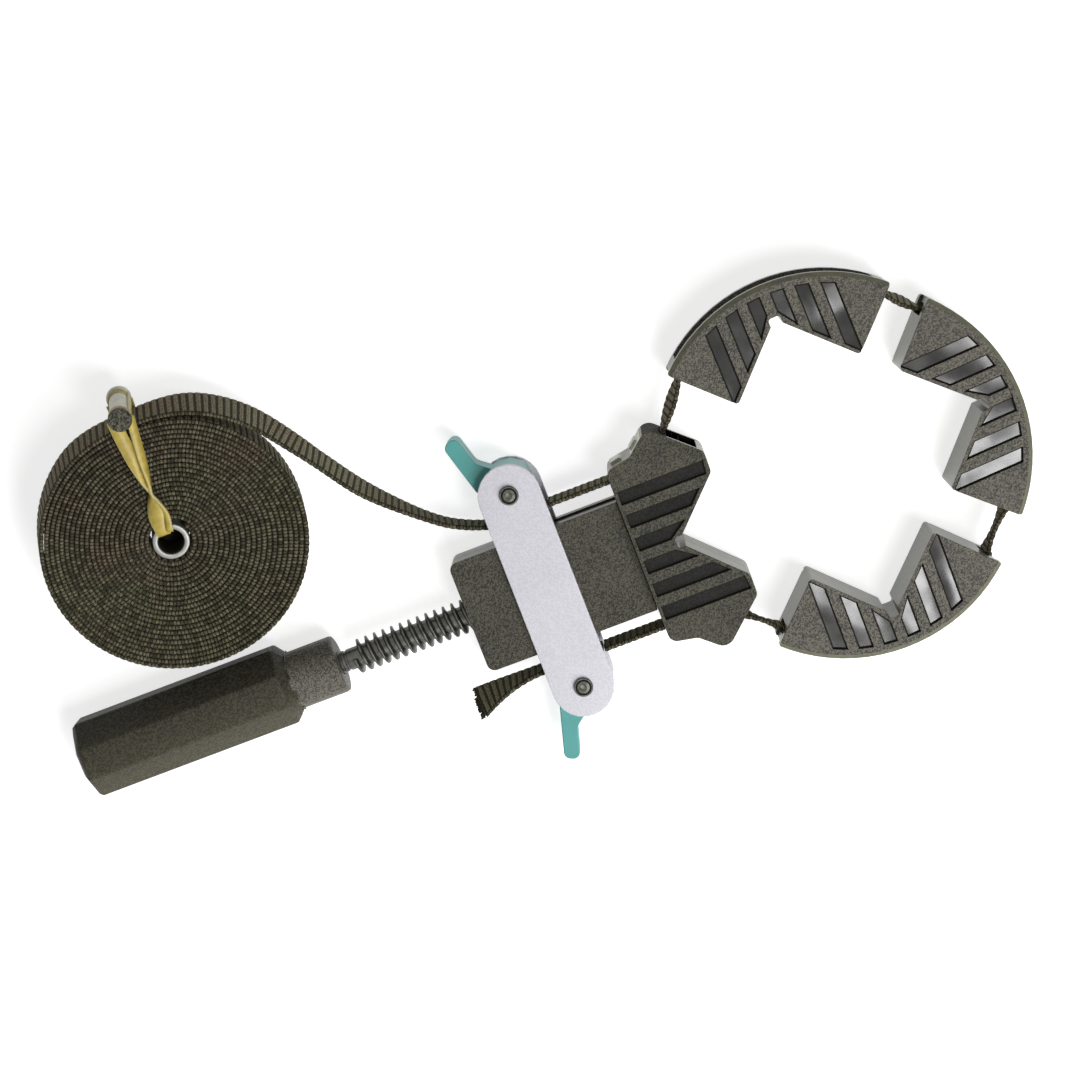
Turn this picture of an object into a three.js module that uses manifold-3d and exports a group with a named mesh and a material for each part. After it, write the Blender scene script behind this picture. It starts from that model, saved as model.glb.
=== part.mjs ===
// Spindle-tightened band clamp: a head and three loose V jaws held in a ring by a woven belt, a body with a
// crossbeam and two cam levers that pinch the belt, a threaded spindle with a faceted grip that pushes the
// head away from the crossbeam, and the spare belt wound on a small tube.
// The pieces are made round the spindle axis: +X from the grip to the jaws, +Z up, x = 0 at the body's end
// face. The whole clamp is then moved so that its origin lies under the head, on the face it rests on.
import * as THREE from 'three';
import { mergeVertices } from 'three/addons/utils/BufferGeometryUtils.js';
import Module from 'manifold-3d';

const wasm = await Module();
wasm.setup();

// Driving dimensions, in millimetres and degrees
const fit_gap = 0.3;
const cut_overrun = 3;

const belt_width = 15;
const belt_thickness = 1.2;
const belt_clearance = 0.45;

const jaw_thickness = 25.4;
const jaw_radius = 55.2;
const jaw_side_offset = 2.4;
const jaw_web = 11.55;
const jaw_tip_round = 1.2;
const jaw_corner_round = 0.8;
const jaw_channel_depth = 5.4;
const jaw_relief_width = 4;
const jaw_relief_reach = 0.6;
const jaw_bridge_thickness = 2.2;
const jaw_bridge_share = 0.87;
const jaw_bridge_end_share = 0.975;
const jaw_flare_share = 0.84;
const jaw_flare_depth = 1.1;
const jaw_1_reach = 54.3;
const jaw_1_rise = 12;
const jaw_1_heading = 91.7;
const jaw_2_reach = 62.2;
const jaw_2_rise = 4.6;
const jaw_2_heading = 3.3;
const jaw_3_reach = 55.8;
const jaw_3_rise = -2.7;
const jaw_3_heading = -90;

const rib_pitch = 7.9;
const recess_width = 4.5;
const recess_depth = 1.4;
const recess_border = 1.2;
const rim_border = 3.2;
const recess_count = 6;

const head_length = 31.4;
const head_v_depth = 17.6;
const head_cheek_length = 7;
const head_corner_rise = 4.2;
const head_shoulder_run = 8.7;
const head_shoulder_rise = 5.9;
const head_apex_run = 16.6;
const head_apex_rise = 12.7;
const head_relief_width = 3.6;
const head_relief_reach = 0.7;
const head_corner_round = 3;
const head_apex_round = 4;
const head_tip_round = 2.5;
const head_notch_round = 0.8;
const head_tab_length = 4.4;
const head_tab_height = 0.9;
const head_tab_thickness = 5;
const head_tab_shares = [0.5, 0.35];

const body_length = 57.7;
const body_width = 37.4;
const body_thickness = 18;
const body_corner_round = 2.6;
const tunnel_clearance = 0.5;

const guide_height = 8.6;
const guide_depth = 4.8;
const guide_arm_recess = 0.7;
const guide_arm_stop = 1.3;
const guide_arm_reach = 2;

const crossbeam_x = 26.7;
const plate_width = 20.2;
const plate_thickness = 2.3;
const plate_end_reach = 9.9;
const pivot_belt_distance = 8;

const bar_width = 11.2;
const bar_thickness = 6;
const bar_clearance = 0.4;
const nut_block_width = 17;
const nut_block_height = 14.8;
const anvil_width = 17.6;
const anvil_depth = 5.3;
const peg_diameter = 5;
const peg_depth = 1.4;

const barrel_diameter = 6.4;
const barrel_flange_diameter = 9;
const barrel_flange_thickness = 0.6;
const barrel_wall = 1.1;
const barrel_floor = 1.4;
const screw_head_diameter = 6.2;
const screw_head_thickness = 1;
const screw_length = 15;
const screw_slot_width = 1.1;
const screw_slot_depth = 0.6;

const cam_low_radius = 6.3;
const cam_outer_radius = 9.7;
const cam_low_angle = -32;
const cam_locked_angle = -90;
const cam_rise_angle = -122;
const cam_rise_growth = 0.5;
const cam_full_angle = -195;
const cam_return_angle = 45;
const lever_reach = 23.4;
const lever_overhang = 12.3;
const lever_tip_width = 4.8;
const lever_tip_round = 2.2;
const lever_root_reach = 3.8;
const lever_root_overhang = 9.8;
const lever_waist_reach = 12.6;
const lever_waist_overhang = 6.8;
const lever_waist_round = 4;
const lever_finger_thickness = 12.4;

const thread_diameter = 11.2;
const thread_root_diameter = 7.1;
const thread_pitch = 3;
const thread_crest_share = 0.28;
const thread_foot_share = 0.68;
const thread_start = -40.8;
const thread_end = 37;
const neck_start = -45;
const journal_diameter = 6.8;
const flange_diameter = 10.4;
const flange_thickness = 2.5;
const flange_inset = 4;
const thrust_pad_thickness = 2;
const pocket_clearance = 0.4;

const grip_end = -136.4;
const grip_width = 25.4;
const grip_dome = 3.5;
const grip_shoulder_start = -64.4;
const grip_shoulder_end = -61;
const grip_collar_diameter = 19.2;
const grip_bore_depth = 66;
const grip_rim_round = 0.7;
const shank_diameter = 7.1;
const shank_flat_share = 0.86;

const upper_bend_radius = 29.4;
const upper_bend_turn = 46.5;
const lower_straight_run = 13.7;
const lower_bend_radius = 13.1;
const lower_bend_turn = 55.6;

const strand_route = [
  [10, 27.6, 0],
  [2.2, 32.2, 0.8],
  [-7.9, 41.3, 2.2],
  [-17.6, 51.9, 3.8],
  [-26, 64.3, 5.6],
];
const strand_lean = 9;
const strand_lean_shares = [0.3, 0.6];
const strand_turn_share = 0.75;
const strand_lead = 3;

const tail_end = -7.5;
const tail_drop = 3.2;
const tail_twist = 35;

const coil_turns = 22;
const coil_pitch = 1.64;
const coil_strap_thickness = 1.1;
const coil_centre_x = -79.75;
const coil_centre_y = 59.9;
const coil_lean = 14.9;
const coil_lean_heading = 110.6;
const coil_exit_angle = 28;
const coil_loosening = 2.6;
const coil_loosening_angle = 90;
const coil_flare = 2.6;
const coil_flare_angle = 200;
const coil_flare_dent_share = 0.8;
const coil_offset_share = 0.05;
const coil_offset_angle = -59;
const coil_dent_share = 0.02;
const coil_dent_angle = 34;
const coil_straight_run = 9;
const coil_tube_diameter = 12.3;
const coil_tube_bore = 9.5;
const coil_tube_overhang = 0.45;

const toggle_angle = 88;
const toggle_length = 25;
const toggle_diameter = 8;
const toggle_waist_diameter = 5;
const toggle_flange_thickness = 2.2;
const rubber_thickness = 1;
const rubber_width = 6.4;
const rubber_pinch_share = 0.36;
const rubber_lift = 0.5;
const rubber_bore_share = 0.62;

// Counts of sides and steps
const arc_steps = 5;
const jaw_arc_steps = 20;
const round_sides = 24;
const small_round_sides = 16;
const grip_sides = 8;
const dome_steps = 4;
const thread_steps = 12;
const coil_steps = 24;
const strand_steps = 30;
const tail_steps = 10;
const rubber_steps = 16;
const gap_samples = 3;

// Sizes that follow from the ones above
const half_turn = Math.PI;
const half_belt = belt_width / 2;
const half_jaw = jaw_thickness / 2;
const half_body = body_thickness / 2;
const body_side = body_width / 2;
const parting = fit_gap / 2;
const channel_half_height = half_belt + belt_clearance;
const channel_width = belt_thickness + 2 * belt_clearance;
const jaw_v_height = jaw_radius - jaw_web;
const jaw_channel_floor = jaw_radius - jaw_channel_depth;
const belt_arc_radius = jaw_channel_floor + belt_clearance + belt_thickness / 2;
const plate_inner = half_body + fit_gap;
const plate_outer = plate_inner + plate_thickness;
const anvil_inner = body_side + fit_gap;
const anvil_outer = anvil_inner + anvil_depth;
const peg_offset = (anvil_inner + anvil_outer) / 2;
const belt_offset = anvil_outer + fit_gap + belt_thickness / 2;
const pivot_offset = belt_offset + pivot_belt_distance;
const plate_length = 2 * (pivot_offset + plate_end_reach);
const head_left = body_length + fit_gap;
const head_right = head_left + head_length;
const head_v_x = head_right - head_v_depth;
const guide_arm_end = crossbeam_x + bar_width / 2 + guide_arm_stop;
const flange_start = head_left + flange_inset;
const thread_radius = thread_diameter / 2;
const tunnel_radius = thread_radius + tunnel_clearance;
const flange_end = flange_start + flange_thickness;
const pad_start = flange_end + fit_gap;
const pad_end = pad_start + thrust_pad_thickness;
const pocket_start = flange_start - fit_gap;
const pocket_end = pad_end + fit_gap;
const coil_inner_radius = (coil_tube_diameter + coil_strap_thickness) / 2 + fit_gap;
const coil_outer_radius = coil_inner_radius + coil_turns * coil_pitch;
const coil_tube_length = belt_width + 2 * coil_tube_overhang;
const rest_point_x = (head_left + head_v_x) / 2;
const jaws = [
  { number: 1, centre: [head_v_x + jaw_1_reach, jaw_1_rise], heading: jaw_1_heading },
  { number: 2, centre: [head_v_x + jaw_2_reach, jaw_2_rise], heading: jaw_2_heading },
  { number: 3, centre: [head_v_x + jaw_3_reach, jaw_3_rise], heading: jaw_3_heading },
];

const looks = {
  moulding: { color: 0x4c4a43, roughness: 0.62, metalness: 0 },
  grip: { color: 0x3c3a34, roughness: 0.6, metalness: 0 },
  steel: { color: 0x4b4c4a, roughness: 0.35, metalness: 0.9 },
  screw: { color: 0x3a3a3c, roughness: 0.4, metalness: 0.8 },
  plate: { color: 0xd9d6de, roughness: 0.45, metalness: 0.4 },
  lever: { color: 0x4f9d96, roughness: 0.45, metalness: 0 },
  webbing: { color: 0x3b342b, roughness: 0.9, metalness: 0 },
  tube: { color: 0xc9c9c7, roughness: 0.4, metalness: 0.3 },
  rubber: { color: 0xc7b25a, roughness: 0.5, metalness: 0 },
  toggle: { color: 0x6b655c, roughness: 0.6, metalness: 0 },
  pad: { color: 0xb08d4a, roughness: 0.4, metalness: 0.8 },
};

// Solids

function solidOf(geometry) {
  const bare = geometry.clone();
  bare.deleteAttribute('normal');
  bare.deleteAttribute('uv');
  const merged = mergeVertices(bare);
  const places = merged.attributes.position;
  const triangles = [];
  let volume = 0;
  const [a, b, c] = [new THREE.Vector3(), new THREE.Vector3(), new THREE.Vector3()];
  for (let i = 0; i < merged.index.count; i += 3) {
    const [p, q, r] = [merged.index.getX(i), merged.index.getX(i + 1), merged.index.getX(i + 2)];
    if (p === q || q === r || r === p) {
      continue;
    }
    triangles.push([p, q, r]);
    a.fromBufferAttribute(places, p);
    b.fromBufferAttribute(places, q);
    c.fromBufferAttribute(places, r);
    volume += a.dot(b.cross(c));
  }
  const outward = volume > 0 ? triangles : triangles.map(([p, q, r]) => [p, r, q]);
  return new wasm.Manifold(new wasm.Mesh({
    numProp: 3,
    vertProperties: new Float32Array(places.array),
    triVerts: new Uint32Array(outward.flat()),
  }));
}

function geometryOf(solid) {
  const mesh = solid.getMesh();
  const geometry = new THREE.BufferGeometry();
  geometry.setAttribute('position', new THREE.BufferAttribute(mesh.vertProperties, 3));
  geometry.setIndex(new THREE.BufferAttribute(mesh.triVerts, 1));
  geometry.computeVertexNormals();
  return geometry;
}

function block([x0, x1], [y0, y1], [z0, z1]) {
  const geometry = new THREE.BoxGeometry(x1 - x0, y1 - y0, z1 - z0);
  geometry.translate((x0 + x1) / 2, (y0 + y1) / 2, (z0 + z1) / 2);
  return solidOf(geometry);
}

function prism(outline, [low, high]) {
  const shape = new THREE.Shape(outline.map(([x, y]) => new THREE.Vector2(x, y)));
  const geometry = new THREE.ExtrudeGeometry(shape, { depth: high - low, bevelEnabled: false });
  geometry.translate(0, 0, low);
  return solidOf(geometry);
}

// a solid of revolution about Z from [height, radius] pairs, which start and end on the axis
function turnedGeometry(profile, sides, firstAngle = 0) {
  const points = profile.map(([height, radius]) => new THREE.Vector2(radius, height));
  const geometry = new THREE.LatheGeometry(points, sides, firstAngle);
  geometry.rotateX(half_turn / 2);
  return geometry;
}

function turned(profile, sides, [x, y] = [0, 0]) {
  const geometry = turnedGeometry(profile, sides);
  geometry.translate(x, y, 0);
  return solidOf(geometry);
}

// the same about the spindle axis, from [x, radius] pairs
function turnedAlong(profile, sides, firstAngle) {
  const geometry = turnedGeometry(profile, sides, firstAngle);
  geometry.rotateY(half_turn / 2);
  return solidOf(geometry);
}

function rod(radius, [low, high], sides, place) {
  return turned([[low, 0], [low, radius], [high, radius], [high, 0]], sides, place);
}

function rodAlong(radius, [low, high], sides) {
  return turnedAlong([[low, 0], [low, radius], [high, radius], [high, 0]], sides);
}

// a closed skin over rings of points, with a flat cap at each end
function sweep(rings) {
  const sides = rings[0].length;
  const index = [];
  for (let k = 0; k + 1 < rings.length; k += 1) {
    for (let j = 0; j < sides; j += 1) {
      const [here, next] = [k * sides + j, k * sides + (j + 1) % sides];
      index.push(here, next, here + sides);
      index.push(next, next + sides, here + sides);
    }
  }
  const last = (rings.length - 1) * sides;
  for (let j = 1; j + 1 < sides; j += 1) {
    index.push(0, j + 1, j);
    index.push(last, last + j, last + j + 1);
  }
  const geometry = new THREE.BufferGeometry();
  const points = rings.flat().flatMap((point) => point.toArray());
  geometry.setAttribute('position', new THREE.Float32BufferAttribute(points, 3));
  geometry.setIndex(index);
  return solidOf(geometry);
}

// Outlines

// an outline from [x, y, radius] corners, with an arc at each corner that has a radius
function rounded(corners) {
  const outline = [];
  corners.forEach(([x, y, radius], i) => {
    if (!radius) {
      outline.push([x, y]);
      return;
    }
    const corner = new THREE.Vector2(x, y);
    const [bx, by] = corners[(i + corners.length - 1) % corners.length];
    const [ax, ay] = corners[(i + 1) % corners.length];
    const before = new THREE.Vector2(bx, by).sub(corner);
    const after = new THREE.Vector2(ax, ay).sub(corner);
    const room = Math.min(before.length(), after.length()) / 2;
    before.normalize();
    after.normalize();
    const half = before.angleTo(after) / 2;
    const reach = Math.min(radius / Math.tan(half), room);
    const start = corner.clone().addScaledVector(before, reach);
    const bisector = before.clone().add(after).normalize();
    const centre = corner.clone().addScaledVector(bisector, reach / Math.cos(half));
    const arm = start.sub(centre);
    const sense = Math.sign(before.cross(after));
    for (let k = 0; k <= arc_steps; k += 1) {
      const turn = -sense * (half_turn - 2 * half) * k / arc_steps;
      const point = arm.clone().rotateAround(new THREE.Vector2(), turn).add(centre);
      outline.push([point.x, point.y]);
    }
  });
  return outline;
}

function mirrored(corners) {
  return corners.concat(corners.map(([x, y, radius]) => [x, -y, radius]).reverse());
}

function flipped(outline) {
  return outline.map(([x, y]) => [x, -y]).reverse();
}

const radians = (degrees) => THREE.MathUtils.degToRad(degrees);
const polar = (radius, angle) => [radius * Math.sin(angle), radius * Math.cos(angle)];

// the band between two radii, from one angle to another, both counted from +Y
function sector(inner, outer, from, to, steps) {
  const angles = Array.from({ length: steps + 1 }, (_, k) => from + (to - from) * k / steps);
  const near = angles.map((angle) => polar(inner, angle));
  const far = angles.map((angle) => polar(outer, angle)).reverse();
  return near.concat(far);
}

// Belt

// a flat strap through stations, each with its place, its heading and its width direction
function strap(stations, thickness, width) {
  return sweep(stations.map(({ at, along, across }) => {
    const wide = across.clone().addScaledVector(along, -across.dot(along)).normalize();
    const thick = new THREE.Vector3().crossVectors(along, wide).normalize();
    const corner = (w, t) => at.clone()
      .addScaledVector(wide, w * width / 2)
      .addScaledVector(thick, t * thickness / 2);
    return [corner(1, 1), corner(-1, 1), corner(-1, -1), corner(1, -1)];
  }));
}

function straightStations(from, to, across = new THREE.Vector3(0, 0, 1)) {
  const along = to.clone().sub(from).normalize();
  return [{ at: from, along, across }, { at: to, along, across }];
}

function place2(x, y, z = 0) {
  return new THREE.Vector3(x, y, z);
}

// Scene graph

const clamp = new THREE.Group();
clamp.position.set(-rest_point_x, 0, half_jaw);

function add(name, solid, look, parent = clamp) {
  const mesh = new THREE.Mesh(geometryOf(solid), new THREE.MeshStandardMaterial(look));
  mesh.name = name;
  parent.add(mesh);
  return mesh;
}

// Spindle and grip

function threadRidge() {
  const turns = (thread_end - thread_start) / thread_pitch - thread_foot_share;
  const count = Math.round(turns * thread_steps);
  const root = thread_root_diameter / 2 * Math.cos(half_turn / thread_steps) - fit_gap / 2;
  const foot = thread_foot_share * thread_pitch / 2;
  const crest = thread_crest_share * thread_pitch / 2;
  const rings = [];
  for (let k = 0; k <= count; k += 1) {
    const angle = 2 * half_turn * k / thread_steps;
    const ramp = Math.min(1, (k + 1) / thread_steps * 2, (count + 1 - k) / thread_steps * 2);
    const top = root + (thread_radius - root) * ramp;
    const x = thread_start + foot + thread_pitch * k / thread_steps;
    const point = (shift, radius) => place2(x + shift, radius * Math.cos(angle), radius * Math.sin(angle));
    rings.push([point(-foot, root), point(-crest, top), point(crest, top), point(foot, root)]);
  }
  return sweep(rings);
}

function spindle() {
  const shank_end = neck_start - grip_bore_depth + fit_gap;
  const root = thread_root_diameter / 2;
  const shaft = turnedAlong([
    [shank_end, 0],
    [shank_end, shank_diameter / 2],
    [neck_start, shank_diameter / 2],
    [thread_start, root],
    [thread_end, root],
    [thread_end, journal_diameter / 2],
    [flange_start, journal_diameter / 2],
    [flange_start, flange_diameter / 2],
    [flange_end, flange_diameter / 2],
    [flange_end, 0],
  ], thread_steps);
  return shaft.add(threadRidge());
}

function gripBody() {
  const apothem = grip_width / 2;
  const facet_radius = apothem / Math.cos(half_turn / grip_sides);
  const collar = grip_collar_diameter / 2;
  const dome = Array.from({ length: dome_steps + 1 }, (_, k) => {
    const angle = half_turn / 2 * k / dome_steps;
    return [grip_end + grip_dome * (1 - Math.cos(angle)), facet_radius * Math.sin(angle)];
  });
  const faceted = turnedAlong([
    ...dome,
    [grip_shoulder_start, facet_radius],
    [grip_shoulder_end, collar],
    [grip_shoulder_end, 0],
  ], grip_sides, half_turn / grip_sides);
  const round = turnedAlong([
    [grip_shoulder_start, 0],
    [grip_shoulder_start, collar],
    [neck_start - grip_rim_round, collar],
    [neck_start, collar - grip_rim_round],
    [neck_start, 0],
  ], round_sides);
  const bore = rodAlong(shank_diameter / 2 + fit_gap, [neck_start - grip_bore_depth, neck_start + cut_overrun],
    thread_steps);
  return faceted.add(round).subtract(bore);
}

add('spindle', spindle(), looks.steel);
add('grip', gripBody(), looks.grip);

// Body

const bar_x = [crossbeam_x - bar_width / 2, crossbeam_x + bar_width / 2];
const grown = ([low, high], margin) => [low - margin, high + margin];

function bodyShell(side) {
  const outline = rounded(mirrored([
    [body_length, body_side, 0],
    [0, body_side, body_corner_round],
  ]));
  const span = (low, high) => (side > 0 ? [low, high] : [-high, -low]);
  const tunnel = rodAlong(tunnel_radius, [-cut_overrun, body_length + cut_overrun], small_round_sides);
  const block_pocket = block(grown(bar_x, bar_clearance), grown([-nut_block_width / 2, nut_block_width / 2],
    bar_clearance), grown([-nut_block_height / 2, nut_block_height / 2], bar_clearance));
  const bar_window = block(grown(bar_x, bar_clearance), grown([-body_side, body_side], cut_overrun),
    grown([-bar_thickness / 2, bar_thickness / 2], fit_gap));
  let shell = prism(outline, span(parting, half_body)).subtract(tunnel).subtract(block_pocket)
    .subtract(bar_window);
  for (const hand of [1, -1]) {
    const reach = [body_side - guide_depth, body_side + cut_overrun].map((y) => y * hand);
    shell = shell.subtract(block([guide_arm_end - fit_gap, body_length + cut_overrun],
      hand > 0 ? reach : reach.reverse(), [-guide_height / 2, guide_height / 2]));
  }
  return shell;
}

add('body_upper', bodyShell(1), looks.moulding);
add('body_lower', bodyShell(-1), looks.moulding);

// Crossbeam

function crossBar() {
  const bore = rodAlong(thread_radius + fit_gap, grown(bar_x, cut_overrun), small_round_sides);
  const peg_top = plate_inner + peg_depth;
  let bar = block(bar_x, [-anvil_outer, anvil_outer], [-bar_thickness / 2, bar_thickness / 2])
    .add(block(bar_x, [-nut_block_width / 2, nut_block_width / 2], [-nut_block_height / 2, nut_block_height / 2]));
  for (const hand of [1, -1]) {
    const reach = [anvil_inner * hand, anvil_outer * hand];
    bar = bar.add(block([crossbeam_x - anvil_width / 2, crossbeam_x + anvil_width / 2],
      hand > 0 ? reach : reach.reverse(), [-half_body, half_body]));
    bar = bar.add(rod(peg_diameter / 2, [-peg_top, peg_top], small_round_sides, [crossbeam_x, hand * peg_offset]));
  }
  return bar.subtract(bore);
}

function plate(side) {
  const end = plate_width / 2;
  const flank = plate_length / 2 - end;
  const arc = (centre, from) => Array.from({ length: round_sides / 2 + 1 }, (_, k) => {
    const [x, y] = polar(end, from + half_turn * k / (round_sides / 2));
    return [crossbeam_x + x, centre + y];
  });
  const outline = arc(flank, -half_turn / 2).concat(arc(-flank, half_turn / 2));
  const span = side > 0 ? [plate_inner, plate_outer] : [-plate_outer, -plate_inner];
  const hole = side > 0 ? barrel_diameter / 2 - barrel_wall : barrel_diameter / 2 + fit_gap;
  const peg_top = plate_inner + peg_depth + fit_gap;
  let piece = prism(outline, span);
  for (const hand of [1, -1]) {
    piece = piece.subtract(rod(hole, [-plate_outer - cut_overrun, plate_outer + cut_overrun], small_round_sides,
      [crossbeam_x, hand * pivot_offset]));
    piece = piece.subtract(rod(peg_diameter / 2 + fit_gap, [-peg_top, peg_top], small_round_sides,
      [crossbeam_x, hand * peg_offset]));
  }
  return piece;
}

function pivotBarrel(hand) {
  const barrel = barrel_diameter / 2;
  const bore = barrel - barrel_wall;
  const flange_top = -plate_outer - fit_gap;
  const floor = flange_top + barrel_floor;
  return turned([
    [flange_top - barrel_flange_thickness, 0],
    [flange_top - barrel_flange_thickness, barrel_flange_diameter / 2],
    [flange_top, barrel_flange_diameter / 2],
    [flange_top, barrel],
    [plate_inner - fit_gap, barrel],
    [plate_inner - fit_gap, bore],
    [floor, bore],
    [floor, 0],
  ], small_round_sides, [crossbeam_x, hand * pivot_offset]);
}

function pivotScrew(hand) {
  const under_head = plate_outer + fit_gap;
  const top = under_head + screw_head_thickness;
  const shank = barrel_diameter / 2 - barrel_wall - fit_gap;
  const head = screw_head_diameter / 2;
  const screw = turned([
    [under_head - screw_length, 0],
    [under_head - screw_length, shank],
    [under_head, shank],
    [under_head, head],
    [top - screw_slot_width / 2, head],
    [top, head - screw_slot_width / 2],
    [top, 0],
  ], small_round_sides, [crossbeam_x, hand * pivot_offset]);
  const across = [-screw_slot_width / 2, screw_slot_width / 2];
  const along = [-head / 2, head / 2];
  const depth = [top - screw_slot_depth, top + cut_overrun];
  const shifted = ([low, high], by) => [low + by, high + by];
  return screw
    .subtract(block(shifted(across, crossbeam_x), shifted(along, hand * pivot_offset), depth))
    .subtract(block(shifted(along, crossbeam_x), shifted(across, hand * pivot_offset), depth));
}

// the cam's radius grows from its low side, past the belt, to the full hub
function camOutline() {
  const locked_radius = pivot_offset - belt_offset - belt_thickness / 2 - fit_gap;
  const stops = [
    [cam_return_angle, cam_outer_radius],
    [cam_low_angle, cam_low_radius],
    [cam_locked_angle, locked_radius],
    [cam_rise_angle, locked_radius + cam_rise_growth],
    [cam_full_angle, cam_outer_radius],
    [cam_return_angle - 360, cam_outer_radius],
  ];
  const outline = [];
  for (let i = 0; i + 1 < stops.length; i += 1) {
    const [[from, start], [to, end]] = [stops[i], stops[i + 1]];
    for (let k = 0; k < arc_steps; k += 1) {
      const angle = radians(from + (to - from) * k / arc_steps);
      const radius = start + (end - start) * k / arc_steps;
      outline.push([radius * Math.cos(angle), radius * Math.sin(angle)]);
    }
  }
  return outline;
}

// the finger leans back towards the grip and meets the hub in a hollow on its other side
function fingerOutline() {
  const tip = lever_tip_width / 2;
  return rounded([
    [0, 0, 0],
    [-lever_root_overhang, lever_root_reach, 0],
    [-lever_overhang - tip, lever_reach - tip, lever_tip_round],
    [tip - lever_overhang, lever_reach, lever_tip_round],
    [-lever_waist_overhang, lever_waist_reach, lever_waist_round],
    [0, cam_outer_radius - lever_tip_round, 0],
  ]);
}

function lever(hand) {
  const put = (outline) => {
    const above = outline.map(([x, y]) => [crossbeam_x + x, pivot_offset + y]);
    return hand > 0 ? above : flipped(above);
  };
  const hub_half = half_body - fit_gap / 2;
  const hub = prism(put(camOutline()), [-hub_half, hub_half]);
  const finger = prism(put(fingerOutline()), [-lever_finger_thickness / 2, lever_finger_thickness / 2]);
  const bore = rod(barrel_diameter / 2 + fit_gap, [-half_body - cut_overrun, half_body + cut_overrun],
    small_round_sides, [crossbeam_x, hand * pivot_offset]);
  return hub.add(finger).subtract(bore);
}

add('cross_bar', crossBar(), looks.steel);
add('plate_top', plate(1), looks.plate);
add('plate_bottom', plate(-1), looks.plate);
for (const [side, hand] of [['upper', 1], ['lower', -1]]) {
  add(`pivot_barrel_${side}`, pivotBarrel(hand), looks.screw);
  add(`pivot_screw_${side}`, pivotScrew(hand), looks.screw);
  add(`lever_${side}`, lever(hand), looks.lever);
}

// Head

const head_notch_x = head_v_x - head_relief_reach;
const head_corner = [head_left, belt_offset + head_corner_rise];
const head_shoulder = [head_left + head_shoulder_run, belt_offset + head_shoulder_rise];
const head_apex = [head_left + head_apex_run, belt_offset + head_apex_rise];
const head_profile = [
  [...head_corner, head_corner_round],
  [...head_shoulder, head_corner_round],
  [...head_apex, head_apex_round],
  [head_right, head_v_depth + head_cheek_length, head_tip_round],
  [head_right, head_v_depth, head_tip_round],
  [head_v_x + head_relief_width / 2, head_relief_width / 2, 0],
  [head_notch_x, head_relief_width / 2, head_notch_round],
].reverse();

// The belt's way through the head. The upper length bends all along; the lower one runs straight first.
// Each is an arc that leaves the straight run, given as its start, radius and turn.
const route_start = head_left + fit_gap;
const head_routes = {
  upper: { start: route_start, bend: upper_bend_radius, turn: upper_bend_turn, hand: 1 },
  lower: { start: route_start + lower_straight_run, bend: lower_bend_radius, turn: lower_bend_turn, hand: -1 },
};

function routeStations({ start, bend, turn, hand }, lead) {
  const across = place2(0, 0, 1);
  const stations = [];
  if (lead > 0 || start > route_start) {
    stations.push({ at: place2(route_start - lead, belt_offset * hand), along: place2(1, 0), across });
  }
  for (let k = 0; k <= jaw_arc_steps / 2; k += 1) {
    const angle = radians(turn) * k / (jaw_arc_steps / 2);
    stations.push({
      at: place2(start + bend * Math.sin(angle), (belt_offset + bend * (1 - Math.cos(angle))) * hand),
      along: place2(Math.cos(angle), Math.sin(angle) * hand),
      across,
    });
  }
  return stations;
}

function routeEnd(route) {
  return routeStations(route, 0).at(-1);
}

function extended(stations, reach) {
  const { at, along, across } = stations.at(-1);
  return stations.concat([{ at: at.clone().addScaledVector(along, reach), along, across }]);
}

// the recessed bands on both faces of the head run along X, from the body side to the V
function headRecesses() {
  const bands = [];
  for (let i = 0; i < recess_count; i += 1) {
    const centre = (i - (recess_count - 1) / 2) * rib_pitch;
    const [low, high] = [centre - recess_width / 2, centre + recess_width / 2];
    const far = (y) => Math.min(head_right - recess_border,
      Math.max(head_v_x + Math.abs(y), head_notch_x) - recess_border * Math.SQRT2);
    const cap = Math.min(Math.abs(low), Math.abs(high)) < head_relief_width / 2
      ? head_notch_x - recess_border : head_right;
    const near = head_left + recess_border;
    const outline = [[near, low], [Math.min(far(low), Math.abs(low) < Math.abs(high) ? cap : head_right), low],
      [Math.min(far(high), Math.abs(high) < Math.abs(low) ? cap : head_right), high], [near, high]];
    bands.push(prism(outline, [half_jaw - recess_depth, half_jaw + cut_overrun]));
    bands.push(prism(outline, [-half_jaw - cut_overrun, recess_depth - half_jaw]));
  }
  return bands;
}

// a stepped tab on one of the two slopes of the head's outer side
function snapTab(slope, hand, side) {
  const stops = [head_corner, head_shoulder, head_apex].map(([x, y]) => new THREE.Vector2(x, y));
  const [from, to] = [stops[slope], stops[slope + 1]];
  const along = to.clone().sub(from).normalize();
  const out = new THREE.Vector2(-along.y, along.x);
  const middle = from.clone().lerp(to, head_tab_shares[slope]);
  const at = (a, b) => middle.clone().addScaledVector(along, a).addScaledVector(out, b).toArray();
  const half = head_tab_length / 2;
  const outline = [at(-half, -head_tab_height), at(half, -head_tab_height),
    at(half - head_tab_height, head_tab_height), at(-half, head_tab_height)];
  const span = side > 0 ? [parting, head_tab_thickness] : [-head_tab_thickness, -parting];
  return prism(hand > 0 ? outline : flipped(outline), span);
}

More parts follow.
